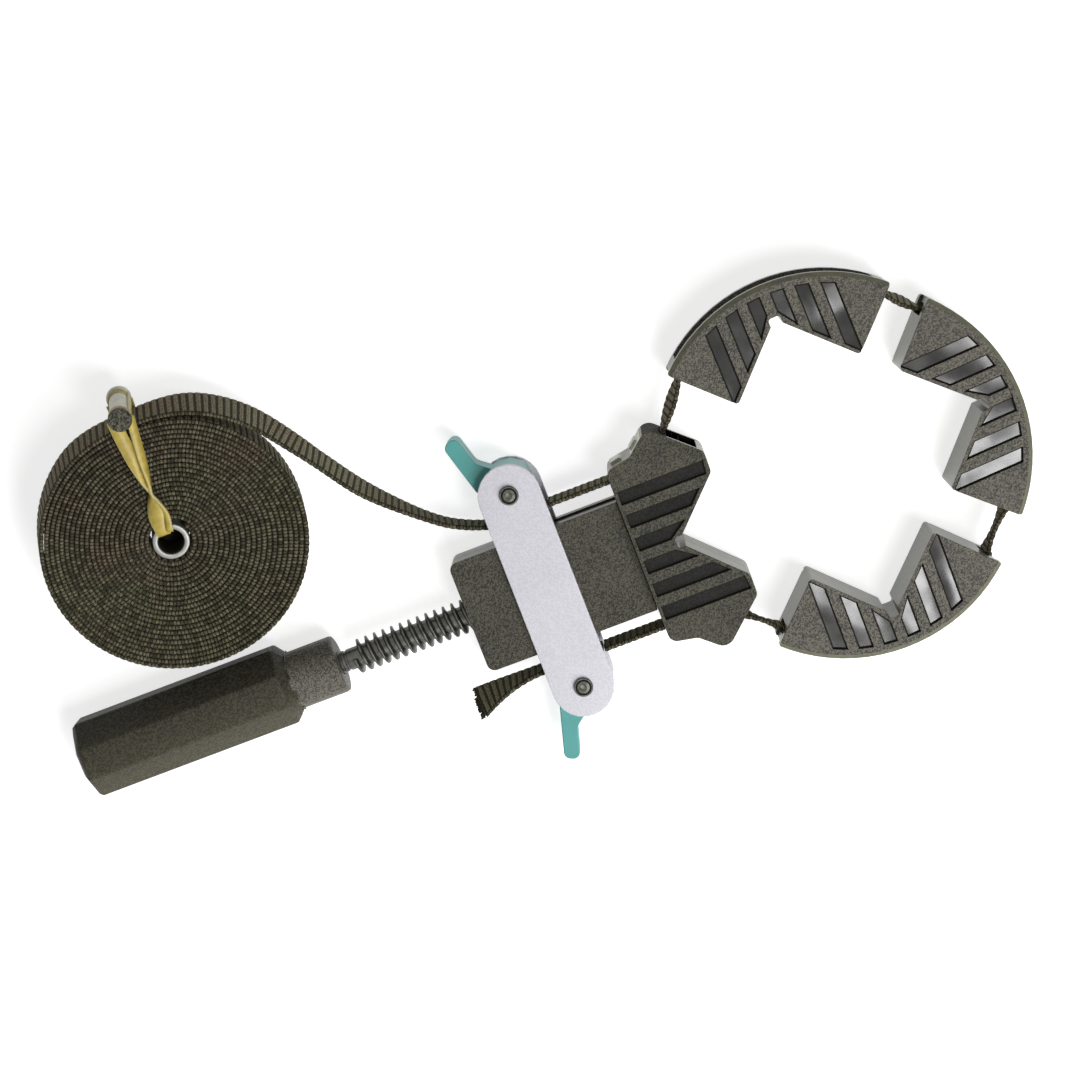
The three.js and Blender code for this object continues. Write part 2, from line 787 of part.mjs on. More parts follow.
function headShell(side) {
  const span = (low, high) => (side > 0 ? [low, high] : [-high, -low]);
  const outline = rounded(mirrored(head_profile));
  let shell = prism(outline, span(parting, half_jaw));
  const arm_half = guide_height / 2 - fit_gap;
  for (const hand of [1, -1]) {
    const reach = [(body_side - guide_depth + fit_gap) * hand, (body_side - guide_arm_recess) * hand];
    shell = shell.add(block([guide_arm_end, head_left + guide_arm_reach], hand > 0 ? reach : reach.reverse(),
      span(parting, arm_half)));
    head_tab_shares.forEach((_, slope) => {
      shell = shell.add(snapTab(slope, hand, side));
    });
  }
  const journal = rodAlong(journal_diameter / 2 + fit_gap, [head_left - cut_overrun, pocket_end], round_sides);
  const pocket = rodAlong(flange_diameter / 2 + pocket_clearance, [pocket_start, pocket_end], round_sides);
  shell = shell.subtract(journal).subtract(pocket);
  for (const band of headRecesses()) {
    shell = shell.subtract(band);
  }
  for (const hand of [1, -1]) {
    for (const route of Object.values(head_routes)) {
      const stations = extended(routeStations({ ...route, hand }, cut_overrun), belt_width);
      shell = shell.subtract(strap(stations, channel_width, channel_half_height * 2));
    }
  }
  return shell;
}

add('head_upper', headShell(1), looks.moulding);
add('head_lower', headShell(-1), looks.moulding);
add('thrust_pad', rodAlong(flange_diameter / 2, [pad_start, pad_end], round_sides), looks.pad);

// Jaws. A jaw's own frame has its arc's centre at the origin and its V opening towards -Y.

// where the slanted side meets the arc
const jaw_corner_x = (Math.sqrt(2 * jaw_radius ** 2 - jaw_side_offset ** 2) - jaw_side_offset) / 2;
const jaw_half_angle = Math.atan2(jaw_corner_x, jaw_corner_x + jaw_side_offset);
const jaw_tip_x = (jaw_v_height - jaw_side_offset) / 2;

function jawOutline() {
  const relief = jaw_relief_width / 2;
  const side = [
    [relief, jaw_v_height + jaw_relief_reach, relief / 2],
    [relief, jaw_v_height - relief, 0],
    [jaw_tip_x, jaw_tip_x + jaw_side_offset, jaw_tip_round],
    [jaw_corner_x, jaw_corner_x + jaw_side_offset, jaw_corner_round],
  ];
  const arc = Array.from({ length: jaw_arc_steps - 1 }, (_, k) => {
    const angle = jaw_half_angle * (1 - 2 * (k + 1) / jaw_arc_steps);
    return [...polar(jaw_radius, angle), 0];
  });
  const other = side.map(([x, y, radius]) => [-x, y, radius]).reverse();
  return rounded([...side, ...arc, ...other]);
}

function jawRecesses() {
  const bands = [];
  const rim = jaw_radius - rim_border;
  const notch_top = jaw_v_height + jaw_relief_reach + recess_border;
  const low = (x) => (Math.abs(x) < jaw_relief_width / 2 + recess_border
    ? notch_top : jaw_v_height - Math.abs(x) + recess_border * Math.SQRT2);
  const high = (x) => Math.sqrt(rim ** 2 - x ** 2);
  for (let i = 0; i < recess_count; i += 1) {
    const centre = (i - (recess_count - 1) / 2) * rib_pitch;
    const [left, right] = [centre - recess_width / 2, centre + recess_width / 2];
    const outline = [[left, low(left)], [right, low(right)], [right, high(right)], [left, high(left)]];
    bands.push(prism(outline, [half_jaw - recess_depth, half_jaw + cut_overrun]));
    bands.push(prism(outline, [-half_jaw - cut_overrun, recess_depth - half_jaw]));
  }
  return bands;
}

function jaw() {
  const past = jaw_half_angle * 2 - jaw_half_angle * jaw_flare_share;
  const height = [-channel_half_height, channel_half_height];
  const channel = sector(jaw_channel_floor, jaw_radius + cut_overrun, -past, past, jaw_arc_steps);
  let solid = prism(jawOutline(), [-half_jaw, half_jaw]).subtract(prism(channel, height));
  for (const hand of [1, -1]) {
    const flare = [
      polar(jaw_channel_floor, hand * jaw_half_angle * jaw_flare_share),
      polar(jaw_channel_floor - jaw_flare_depth, hand * past),
      polar(jaw_radius, hand * past),
      polar(jaw_radius - jaw_channel_depth / 2, hand * jaw_half_angle * jaw_flare_share),
    ];
    solid = solid.subtract(prism(hand > 0 ? flare : flare.reverse(), height));
    const [from, to] = [jaw_bridge_share, jaw_bridge_end_share].map((share) => share * jaw_half_angle * hand);
    const bridge = sector(jaw_radius - jaw_bridge_thickness, jaw_radius, from, to, 1);
    solid = solid.add(prism(bridge, grown(height, belt_clearance)));
  }
  for (const band of jawRecesses()) {
    solid = solid.subtract(band);
  }
  return solid;
}

function jawHeading(one) {
  return radians(one.heading);
}

// a point at a radius and an angle, counted clockwise from the jaw's own heading, in the clamp's frame
function jawPoint(one, radius, angle) {
  const turn = jawHeading(one) - angle;
  return place2(one.centre[0] + radius * Math.cos(turn), one.centre[1] + radius * Math.sin(turn));
}

function beltArc() {
  const half = jaw_half_angle;
  return strap(Array.from({ length: jaw_arc_steps + 1 }, (_, k) => {
    const angle = half * (2 * k / jaw_arc_steps - 1);
    return {
      at: place2(...polar(belt_arc_radius, angle)),
      along: place2(Math.cos(angle), -Math.sin(angle)),
      across: place2(0, 0, 1),
    };
  }), belt_thickness, belt_width);
}

for (const one of jaws) {
  const stand = new THREE.Group();
  stand.position.set(...one.centre, 0);
  stand.rotation.z = jawHeading(one) - half_turn / 2;
  clamp.add(stand);
  add(`jaw_${one.number}`, jaw(), looks.moulding, stand);
  add(`belt_arc_${one.number}`, beltArc(), looks.webbing, stand);
}

// Belt lengths beside the body, inside the head and between the jaws

function beltBetween(from, to) {
  const along = to.clone().sub(from).normalize();
  const start = from.clone().addScaledVector(along, fit_gap);
  const end = to.clone().addScaledVector(along, -fit_gap);
  return strap(straightStations(start, end), belt_thickness, belt_width);
}

const crossbeam_sides = [crossbeam_x - plate_width / 2, crossbeam_x + plate_width / 2];
for (const [side, hand] of [['upper', 1], ['lower', -1]]) {
  const route = head_routes[side];
  add(`belt_run_${side}`, beltBetween(place2(crossbeam_sides[1], belt_offset * hand),
    place2(head_left + fit_gap, belt_offset * hand)), looks.webbing);
  add(`belt_in_head_${side}`, strap(routeStations(route, 0), belt_thickness, belt_width), looks.webbing);
}

const exits = { upper: routeEnd(head_routes.upper).at, lower: routeEnd(head_routes.lower).at };
const jawStart = (one) => jawPoint(one, belt_arc_radius, -jaw_half_angle);
const jawEnd = (one) => jawPoint(one, belt_arc_radius, jaw_half_angle);
add('belt_span_1', beltBetween(exits.upper, jawStart(jaws[0])), looks.webbing);
add('belt_span_2', beltBetween(jawEnd(jaws[0]), jawStart(jaws[1])), looks.webbing);
add('belt_span_3', beltBetween(jawEnd(jaws[1]), jawStart(jaws[2])), looks.webbing);
add('belt_span_4', beltBetween(jawEnd(jaws[2]), exits.lower), looks.webbing);

// the clamped lower end, past the crossbeam, turns over as it ends
function beltTail() {
  const free = crossbeam_sides[0] - tail_end;
  const stations = straightStations(place2(crossbeam_sides[1] - fit_gap, -belt_offset),
    place2(crossbeam_sides[0], -belt_offset));
  for (let k = 1; k <= tail_steps; k += 1) {
    const share = k / tail_steps;
    const twist = radians(tail_twist) * share ** 2;
    stations.push({
      at: place2(crossbeam_sides[0] - free * share, -belt_offset - tail_drop * share ** 2),
      along: place2(-free, -2 * tail_drop * share).normalize(),
      across: place2(0, -Math.sin(twist), Math.cos(twist)),
    });
  }
  return strap(stations, belt_thickness, belt_width);
}

add('belt_tail', beltTail(), looks.webbing);

// Coil. Its own frame has the tube along Z; it leans so that its far side is raised.

const lean = radians(coil_lean);
const lean_heading = radians(coil_lean_heading);
const coil_axis = place2(-Math.sin(lean) * Math.cos(lean_heading), -Math.sin(lean) * Math.sin(lean_heading),
  Math.cos(lean));
const coil_reach = coil_outer_radius * (1 + coil_offset_share) + coil_strap_thickness / 2;
const coil_height = coil_reach * Math.sin(lean) + half_belt * Math.cos(lean) - half_jaw;
const coil = new THREE.Group();
coil.position.set(coil_centre_x, coil_centre_y, coil_height);
coil.quaternion.setFromUnitVectors(place2(0, 0, 1), coil_axis);
clamp.add(coil);
coil.updateMatrix();

// how near an angle, wound inwards from the exit, lies to the toggle, which dents the coil
function toggleDent(wound) {
  const away = Math.abs(Math.atan2(
    Math.sin(wound + radians(coil_exit_angle - toggle_angle)),
    Math.cos(wound + radians(coil_exit_angle - toggle_angle)),
  ));
  return Math.max(0, Math.cos(Math.min(away / radians(coil_dent_angle), 1) * half_turn / 2)) ** 2;
}

// radius of the upper edge; the last turn is a little loose
function coilRadius(wound) {
  const steady = coil_outer_radius - coil_pitch * wound / (2 * half_turn);
  const loose = Math.max(0, 1 - wound / radians(coil_loosening_angle));
  const offset = Math.cos(wound + radians(coil_exit_angle - coil_offset_angle));
  return steady * (1 + coil_offset_share * offset - coil_dent_share * toggleDent(wound))
    + coil_loosening * loose ** 2;
}

// how far the lower edge of the outer turn stands out past the upper one
function coilFlare(wound) {
  return coil_flare * Math.max(0, 1 - wound / radians(coil_flare_angle))
    * (1 - coil_flare_dent_share * toggleDent(wound));
}

function coilPoint(wound) {
  const angle = radians(coil_exit_angle) + wound;
  const radius = coilRadius(wound);
  return place2(radius * Math.cos(angle), radius * Math.sin(angle));
}

function coilStations() {
  const count = coil_turns * coil_steps;
  const wound = Array.from({ length: count + 1 }, (_, k) => 2 * half_turn * k / coil_steps);
  const points = wound.map(coilPoint);
  const stations = points.map((point, k) => {
    const before = points[Math.max(k - 1, 0)];
    const after = points[Math.min(k + 1, count)];
    const out = point.clone().normalize().multiplyScalar(coilFlare(wound[k]));
    return {
      at: point.clone().addScaledVector(out, 1 / 2),
      along: after.clone().sub(before).normalize(),
      across: place2(0, 0, belt_width).sub(out).normalize(),
    };
  });
  const { at, along, across } = stations[0];
  const out = at.clone().addScaledVector(along, -coil_straight_run);
  return [{ at: out, along, across }, ...stations];
}

// the least distance between one turn and the next, from points on both
function coilLeastGap(stations) {
  let least = Infinity;
  for (let k = 1; k + coil_steps + 1 < stations.length; k += 1) {
    for (let s = 0; s < gap_samples; s += 1) {
      const point = stations[k].at.clone().lerp(stations[k + 1].at, s / gap_samples);
      for (let m = k + coil_steps - 2; m <= k + coil_steps + 1 && m + 1 < stations.length; m += 1) {
        const line = new THREE.Line3(stations[m].at, stations[m + 1].at);
        const near = line.closestPointToPoint(point, true, new THREE.Vector3());
        least = Math.min(least, near.distanceTo(point) - coil_strap_thickness);
      }
    }
  }
  return least;
}

const coil_stations = coilStations();
console.log(`belt_coil least gap to itself ${coilLeastGap(coil_stations).toFixed(3)} mm`);
add('belt_coil', strap(coil_stations, coil_strap_thickness, belt_width), looks.webbing, coil);

const tube_half = coil_tube_length / 2;
add('coil_tube', turned([
  [-tube_half, coil_tube_bore / 2],
  [-tube_half, coil_tube_diameter / 2],
  [tube_half, coil_tube_diameter / 2],
  [tube_half, coil_tube_bore / 2],
  [-tube_half, coil_tube_bore / 2],
], round_sides), looks.tube, coil);

// Toggle and rubber band, in a frame whose +Y points from the tube to the toggle

const fastening = new THREE.Group();
fastening.rotation.z = radians(toggle_angle) - half_turn / 2;
coil.add(fastening);

const toggle_wound = radians(toggle_angle - coil_exit_angle);
const toggle_reach = coilRadius(toggle_wound) + coilFlare(toggle_wound) + coil_strap_thickness / 2 + fit_gap
  + toggle_waist_diameter / 2 + rubber_thickness + fit_gap;
const toggle_half = toggle_length / 2;
const toggle_neck = toggle_half - toggle_flange_thickness;
const toggle_rim = fit_gap;

add('toggle', turned([
  [-toggle_half, 0],
  [-toggle_half, toggle_diameter / 2 - toggle_rim],
  [-toggle_half + toggle_rim, toggle_diameter / 2],
  [-toggle_neck, toggle_diameter / 2],
  [-toggle_neck, toggle_waist_diameter / 2],
  [toggle_neck, toggle_waist_diameter / 2],
  [toggle_neck, toggle_diameter / 2],
  [toggle_half - toggle_rim, toggle_diameter / 2],
  [toggle_half, toggle_diameter / 2 - toggle_rim],
  [toggle_half, 0],
], round_sides, [0, toggle_reach]), looks.toggle, fastening);

// one leg: a flat band out of the tube, over the coil's face, turned over once, to the toggle's neck
function rubberLeg(side) {
  const face = tube_half + rubber_lift + rubber_thickness / 2;
  const wrap_inner = toggle_waist_diameter / 2 + fit_gap;
  const reach = toggle_reach - wrap_inner - rubber_thickness / 2;
  const start = coil_tube_bore / 2 * rubber_bore_share;
  const inward = [{ at: place2(0, start, 0), along: place2(0, 0, side), across: place2(1, 0) },
    { at: place2(0, start, side * (face - rubber_thickness)), along: place2(0, 0, side), across: place2(1, 0) }];
  const turn = { at: place2(0, start + rubber_thickness / 2, side * face), along: place2(0, 1, side).normalize(),
    across: place2(1, 0) };
  const leg = Array.from({ length: rubber_steps + 1 }, (_, k) => {
    const share = k / rubber_steps;
    const twist = half_turn * THREE.MathUtils.smoothstep(share, 0, 1);
    const pinch = 1 - (1 - rubber_pinch_share) * Math.sin(half_turn * share) ** 2;
    const width = rubber_width * pinch;
    const lift = width / 2 * Math.abs(Math.sin(twist));
    return {
      at: place2(0, start + rubber_thickness + (reach - start - rubber_thickness) * share, side * (face + lift)),
      along: place2(0, 1),
      across: place2(Math.cos(twist), 0, Math.sin(twist)),
      width,
    };
  });
  const rings = [...inward, turn, ...leg].map(({ at, along, across, width = rubber_width * rubber_bore_share }) => {
    const thick = new THREE.Vector3().crossVectors(along, across).normalize();
    const corner = (w, t) => at.clone()
      .addScaledVector(across, w * width / 2)
      .addScaledVector(thick, t * rubber_thickness / 2);
    return [corner(1, 1), corner(-1, 1), corner(-1, -1), corner(1, -1)];
  });
  const wrap_outer = wrap_inner + rubber_thickness;
  const wrap_span = side > 0 ? [half_belt - rubber_width / 2, toggle_neck - fit_gap]
    : [fit_gap - toggle_neck, rubber_width / 2 - half_belt];
  const wrap = turned([
    [wrap_span[0], wrap_inner],
    [wrap_span[0], wrap_outer],
    [wrap_span[1], wrap_outer],
    [wrap_span[1], wrap_inner],
    [wrap_span[0], wrap_inner],
  ], small_round_sides, [0, toggle_reach]);
  return sweep(rings).add(wrap);
}

add('rubber_band', rubberLeg(1).add(rubberLeg(-1)), looks.rubber, fastening);

// Free strand, from the crossbeam's upper side up to the coil

function beltStrand() {
  const exit = coil_stations[0];
  const end = exit.at.clone().applyMatrix4(coil.matrix);
  const along = exit.along.clone().transformDirection(coil.matrix);
  const exit_across = exit.across.clone().transformDirection(coil.matrix);
  const curve = new THREE.CatmullRomCurve3([
    place2(crossbeam_sides[0], belt_offset),
    ...strand_route.map((point) => place2(...point)),
    end.clone().addScaledVector(along, -strand_lead),
  ], false, 'centripetal');
  const stations = straightStations(place2(crossbeam_sides[1] - fit_gap, belt_offset),
    place2(crossbeam_sides[0] + fit_gap, belt_offset));
  for (let k = 0; k <= strand_steps; k += 1) {
    const share = k / strand_steps;
    const tangent = curve.getTangentAt(share);
    const outward = new THREE.Vector3().crossVectors(tangent, place2(0, 0, 1));
    const lean_now = radians(strand_lean) * THREE.MathUtils.smoothstep(share, ...strand_lean_shares);
    const across = place2(0, 0, 1).addScaledVector(outward, -Math.tan(lean_now))
      .lerp(exit_across, THREE.MathUtils.smoothstep(share, strand_turn_share, 1)).normalize();
    stations.push({ at: curve.getPointAt(share), along: tangent, across });
  }
  stations.push({ at: end.clone().addScaledVector(along, -fit_gap), along, across: exit_across });
  return strap(stations, belt_thickness, belt_width);
}

add('belt_strand', beltStrand(), looks.webbing);

const whole = new THREE.Group();
whole.add(clamp);

export default whole;
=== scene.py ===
"""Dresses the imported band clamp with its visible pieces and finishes, and sets a plain stage round it.

Lengths are in metres in the clamp's own frame: +X from the grip to the jaws, +Z up, floor at z = 0.
The routes of the belt are given in millimetres about the spindle's axis, as the clamp was drawn.
"""
import math

import bmesh
import bpy
from mathutils import Matrix, Vector


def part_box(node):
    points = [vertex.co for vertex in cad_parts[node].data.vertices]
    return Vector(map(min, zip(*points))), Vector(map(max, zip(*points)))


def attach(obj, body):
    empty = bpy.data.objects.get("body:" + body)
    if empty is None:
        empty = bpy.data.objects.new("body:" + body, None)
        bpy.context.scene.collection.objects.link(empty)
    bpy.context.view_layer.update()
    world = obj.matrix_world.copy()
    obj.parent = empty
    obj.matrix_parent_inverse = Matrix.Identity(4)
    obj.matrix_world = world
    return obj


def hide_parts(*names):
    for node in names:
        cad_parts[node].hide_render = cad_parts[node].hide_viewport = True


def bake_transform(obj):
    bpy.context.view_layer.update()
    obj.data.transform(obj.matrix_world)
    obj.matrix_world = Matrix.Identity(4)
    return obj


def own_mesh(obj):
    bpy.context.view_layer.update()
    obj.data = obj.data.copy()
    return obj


bl_info = {
    "name": "Band Clamp Dresser",
    "version": (1, 0, 0),
    "blender": (4, 5, 0),
    "location": "3D View > Sidebar > Band Clamp",
    "description": "Gives the spindle-tightened band clamp its mouldings, webbing, metalwork and finishes",
    "category": "Object",
}

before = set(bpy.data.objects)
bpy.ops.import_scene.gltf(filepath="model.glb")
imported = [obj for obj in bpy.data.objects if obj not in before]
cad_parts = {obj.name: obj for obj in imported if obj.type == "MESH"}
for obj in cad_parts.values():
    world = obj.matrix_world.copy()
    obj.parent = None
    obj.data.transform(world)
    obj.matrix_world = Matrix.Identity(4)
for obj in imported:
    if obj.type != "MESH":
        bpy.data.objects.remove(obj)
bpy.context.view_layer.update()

# The clamp as it was drawn, in millimetres and degrees
MM = 0.001
REST_X = 64.9
HALF_JAW = 12.7
GAP = 0.3
BELT_OFFSET = 25.2
CROSSBEAM = (16.6, 36.8)
HEAD_LEFT = 58.0
IN_CHANNEL_THICKNESS = 1.25
BELT_ARC_RADIUS = 50.85
JAW_HALF_ANGLE = 43.24
JAW_BACK_RADIUS = 55.1
JAWS = {1: (126.1, 12.0, 91.7), 2: (134.0, 4.6, 3.3), 3: (127.6, -2.7, -90.0)}
POCKET_DEPTH = 1.4
UPPER_BEND = {"start": 0.0, "radius": 29.4, "turn": 46.5, "hand": 1}
LOWER_BEND = {"start": 13.7, "radius": 13.1, "turn": 55.6, "hand": -1}
THREAD_PITCH = 3.0
STRAND_ROUTE = [(16.6, 25.2, 0.0), (10.0, 27.6, 0.0), (2.2, 32.2, 0.8), (-7.9, 41.3, 2.2), (-17.6, 51.9, 3.8),
                (-26.0, 64.3, 5.6), (-30.4, 71.1, 6.9)]
STRAND_LEAN = 9.0
COIL_CENTRE = (-79.75, 59.9)
COIL_LEAN = 14.9
COIL_LEAN_HEADING = 110.6
COIL_TURNS = 22
COIL_PITCH = 1.64
COIL_INNER = 7.0
COIL_HEIGHT = 15.0
COIL_LIFT = 0.55
COIL_EXIT = 28.0
COIL_OVAL_SHARE = 0.05
COIL_OVAL_ANGLE = 59.0
COIL_LOOSENING = 2.6
COIL_LOOSENING_ANGLE = 90.0
COIL_FLARE = 2.6
COIL_FLARE_ANGLE = 200.0
FLARE_DENT_SHARE = 0.8
STEPS_IN_TURN = 90
TOGGLE_ANGLE = 88.0
TOGGLE_OUT = 4.0
TOGGLE_DENT_SHARE = 0.02
TOGGLE_DENT_ANGLE = 34.0
TUBE_RADIUS = 5.95
TUBE_BORE = 4.2
TUBE_HALF = 7.95
TUBE_LIP = 0.3
SHADE_DISC_DEPTH = 3.0
SHADE_DISC_THICKNESS = 0.4
SHADE_LINING_GAP = 0.05
SHADE_LINING_THICKNESS = 0.1

# Angles wound along the coil in radians: where the turns close up, and where the free strand is aimed
CLOSED_BY = 1.5
STRAND_AIM = 0.16

# Shares of the free strand along which it leans over, and then takes the coil's slant
STRAND_LEANS = (0.3, 0.6)
STRAND_SLANTS = (0.7, 1.0)

# Directions, and places on the mouldings in metres
UP = Vector((0.0, 0.0, 1.0))
TOP = 2.0 * HALF_JAW * MM
POCKET_FLOORS = (TOP - POCKET_DEPTH * MM, POCKET_DEPTH * MM)
POCKET_WALLS = (TOP - POCKET_DEPTH * MM / 2.0, POCKET_DEPTH * MM / 2.0)
POCKET_RIM = 0.00045
HEAD_WALL_CORNER = (0.0123, 0.0355)
HEAD_WALL_FACING = (0.67, 0.742)
HEAD_SLOT_RUN = (0.0038, 0.0142)
HEAD_SLOT_HEIGHTS = (0.0022, 0.0232)
HEAD_SLOT_DEPTH = 0.003
HEAD_CORNER_X = (0.008, 0.0122)
HEAD_CORNER_Y = 0.0354
TAB_X = (-0.0055, 0.0062)
TAB_Y = 0.029
TAB_HEIGHTS = (0.0072, 0.018)
GRIP_COLLAR_X = -0.1265
GRIP_DOME_X = -0.19

# How near counts as the same, in metres and degrees
SAME_PLANE = 0.0003
SAME_POINT = 0.00006
FLAT_DEGREES = 1.0

# Where each of a moulding's finishes comes in its list
GRAIN, FLOOR, PAINTED_SHADE, SIDE_PAINTED_LIGHTER, TAB = range(5)


def place(x, y, z=0.0):
    """A point given about the spindle's axis in millimetres, in the clamp's frame in metres."""
    return Vector(((x - REST_X) * MM, y * MM, (z + HALF_JAW) * MM))


def smooth(share, low=0.0, high=1.0):
    share = min(max((share - low) / (high - low), 0.0), 1.0)
    return share * share * (3.0 - 2.0 * share)


# Sizes and colours that a user would change

def length_setting(name, description, default):
    return bpy.props.FloatProperty(
        name=name, description=description, default=default, unit="LENGTH", precision=5)


def share_setting(name, description, default):
    return bpy.props.FloatProperty(
        name=name, description=description, default=default, subtype="FACTOR", min=0.0, max=1.0)


def power_setting(name, description, default):
    return bpy.props.FloatProperty(
        name=name, description=description, default=default, unit="POWER", min=0.0, max=200.0)


def colour_setting(name, *default):
    return bpy.props.FloatVectorProperty(
        name=name, description=f"Colour of the {name.lower()}", default=default, subtype="COLOR", size=3,
        min=0.0, max=1.0)


class ClampWebbing(bpy.types.PropertyGroup):
    width: length_setting("Width", "Width of the webbing", 0.015)
    thickness: length_setting("Thickness", "Thickness of the webbing over its ribs", 0.0016)
    coil_share: share_setting(
        "Coil tightness", "Thickness of a wound turn, as a share of the room that it has", 0.985)
    rib_pitch: length_setting("Rib pitch", "Distance from one rib to the next", 0.0023)
    rib_share: share_setting(
        "Rib depth", "Depth of the grooves between ribs, as a share of the thickness", 0.26)
    loop_share: share_setting(
        "Edge loops", "How far the edge dips between its loops, as a share of the width", 0.022)


class ClampEdges(bpy.types.PropertyGroup):
    moulding: length_setting("Mouldings", "Edge rounding of the moulded pieces", 0.0002)
    arc: length_setting("Jaw backs", "Chamfer along the curved back of each jaw", 0.0012)
    grip: length_setting("Grip", "Edge rounding of the grip", 0.0006)
    lever: length_setting("Levers", "Edge rounding of the cam levers", 0.0004)
    plate: length_setting("Plates", "Edge rounding of the crossbeam plates", 0.00028)


class ClampColours(bpy.types.PropertyGroup):
    moulding: colour_setting("Head and body", 0.051, 0.048, 0.032)
    jaw: colour_setting("Jaws", 0.084, 0.077, 0.058)
    pocket: colour_setting("Pockets", 0.014, 0.0135, 0.0115)
    # The walls are painted lighter than the tops: a painted reflection of the pale surround
    side: colour_setting("Moulding sides, painted lighter", 0.150, 0.150, 0.098)
    grip: colour_setting("Grip", 0.060, 0.056, 0.038)
    webbing: colour_setting("Webbing", 0.100, 0.097, 0.055)
    lever: colour_setting("Levers", 0.092, 0.395, 0.372)
    plate: colour_setting("Plates", 0.640, 0.630, 0.680)
    rubber: colour_setting("Rubber", 0.550, 0.425, 0.080)
    tube: colour_setting("Tube", 0.300, 0.300, 0.280)


class ClampStage(bpy.types.PropertyGroup):
    lens: bpy.props.FloatProperty(
        name="Lens", description="Focal length of the camera in millimetres", default=94.18, min=10.0,
        max=300.0)
    sky: bpy.props.FloatProperty(
        name="Surround", description="Strength of the pale surround", default=0.15, min=0.0, max=2.0)
    softbox: power_setting("Softbox", "Power of the large softbox", 7.6)
    glint: power_setting("Glint", "Power of the small lamp that shines in the pockets", 2.0)


# Effects that several finishes use

# Round half of a strap's section, as its V says: the middle of a face, and the start and middle of an edge
FACE_MIDDLE = 0.3
EDGE_START = 0.6
EDGE_MIDDLE = 0.8


class Tree:
    """Adds nodes to a node tree, with their inputs linked or set."""

    def __init__(self, tree):
        self.tree, self.nodes, self.links = tree, tree.nodes, tree.links

    def feed(self, socket, value):
        if isinstance(value, bpy.types.NodeSocket):
            self.links.new(value, socket)
        else:
            socket.default_value = value

    def add(self, kind, values=(), **named):
        node = self.nodes.new(kind)
        for label, value in {**dict(values), **named}.items():
            self.feed(node.inputs[label], value)
        return node

    def math(self, operation, *values):
        node = self.nodes.new("ShaderNodeMath")
        node.operation = operation
        for socket, value in zip(node.inputs, values):
            self.feed(socket, value)
        return node.outputs[0]

    def blended(self, first, second, share):
        """Two levels added up, of which the first counts for a share."""
        rest = self.math("MULTIPLY", second, 1.0 - share)
        return self.math("ADD", self.math("MULTIPLY", first, share), rest)

    def ranged(self, value, low, high, to_low=0.0, to_high=1.0):
        node = self.add("ShaderNodeMapRange", {"Value": value, "From Min": low, "From Max": high,
                                               "To Min": to_low, "To Max": to_high})
        return node.outputs["Result"]

    def separated(self, vector):
        return self.add("ShaderNodeSeparateXYZ", {0: vector}).outputs

    def mixed(self, factor, dark, light):
        node = self.nodes.new("ShaderNodeMix")
        node.data_type = "RGBA"
        for label, value in (("Factor", factor), (6, dark), (7, light)):
            self.feed(node.inputs[label], value)
        return node.outputs[2]

    def seen(self):
        """1 for rays from the camera, from gloss and through glass, and 0 for light that spreads."""
        path = self.nodes.new("ShaderNodeLightPath").outputs
        direct = self.math("ADD", path["Is Camera Ray"], path["Is Glossy Ray"])
        return self.math("ADD", direct, path["Is Transmission Ray"])


def new_group(name, inputs, outputs):
    """A shader node group with named inputs and outputs, and the sockets at its two ends."""
    group = bpy.data.node_groups.new(name, "ShaderNodeTree")
    for label, kind, default in inputs:
        socket = group.interface.new_socket(label, in_out="INPUT", socket_type=kind)
        if default is not None:
            socket.default_value = default
    for label in outputs:
        group.interface.new_socket(label, in_out="OUTPUT", socket_type="NodeSocketFloat")
    return Tree(group), group.nodes.new("NodeGroupInput").outputs, group.nodes.new("NodeGroupOutput").inputs


def grain_group():
    """Fine moulded grain: a height for the bump and a speckle of light and dark points."""
    tree, start, end = new_group(
        "Moulded grain", [("Place", "NodeSocketVector", None), ("Fineness", "NodeSocketFloat", 1300.0)],
        ["Height", "Speckle"])
    cells = tree.add("ShaderNodeTexVoronoi", Vector=start["Place"], Scale=start["Fineness"]).outputs
    noise = tree.add("ShaderNodeTexNoise", Vector=start["Place"], Scale=start["Fineness"], Detail=2.0).outputs
    tree.feed(end["Height"], tree.math("ADD", cells["Distance"], noise["Fac"]))
    tree.feed(end["Speckle"], tree.ranged(tree.separated(cells["Color"])["X"], 0.3, 0.7))
    return tree.tree


def mottle_group():
    """Broad soft patches, for colour and gloss that aren't quite even."""
    tree, start, end = new_group(
        "Soft mottle", [("Place", "NodeSocketVector", None), ("Patch scale", "NodeSocketFloat", 60.0)],
        ["Patches"])
    noise = tree.add("ShaderNodeTexNoise", Vector=start["Place"], Scale=start["Patch scale"], Detail=3.0)
    tree.feed(end["Patches"], tree.ranged(noise.outputs["Fac"], 0.3, 0.7))
    return tree.tree


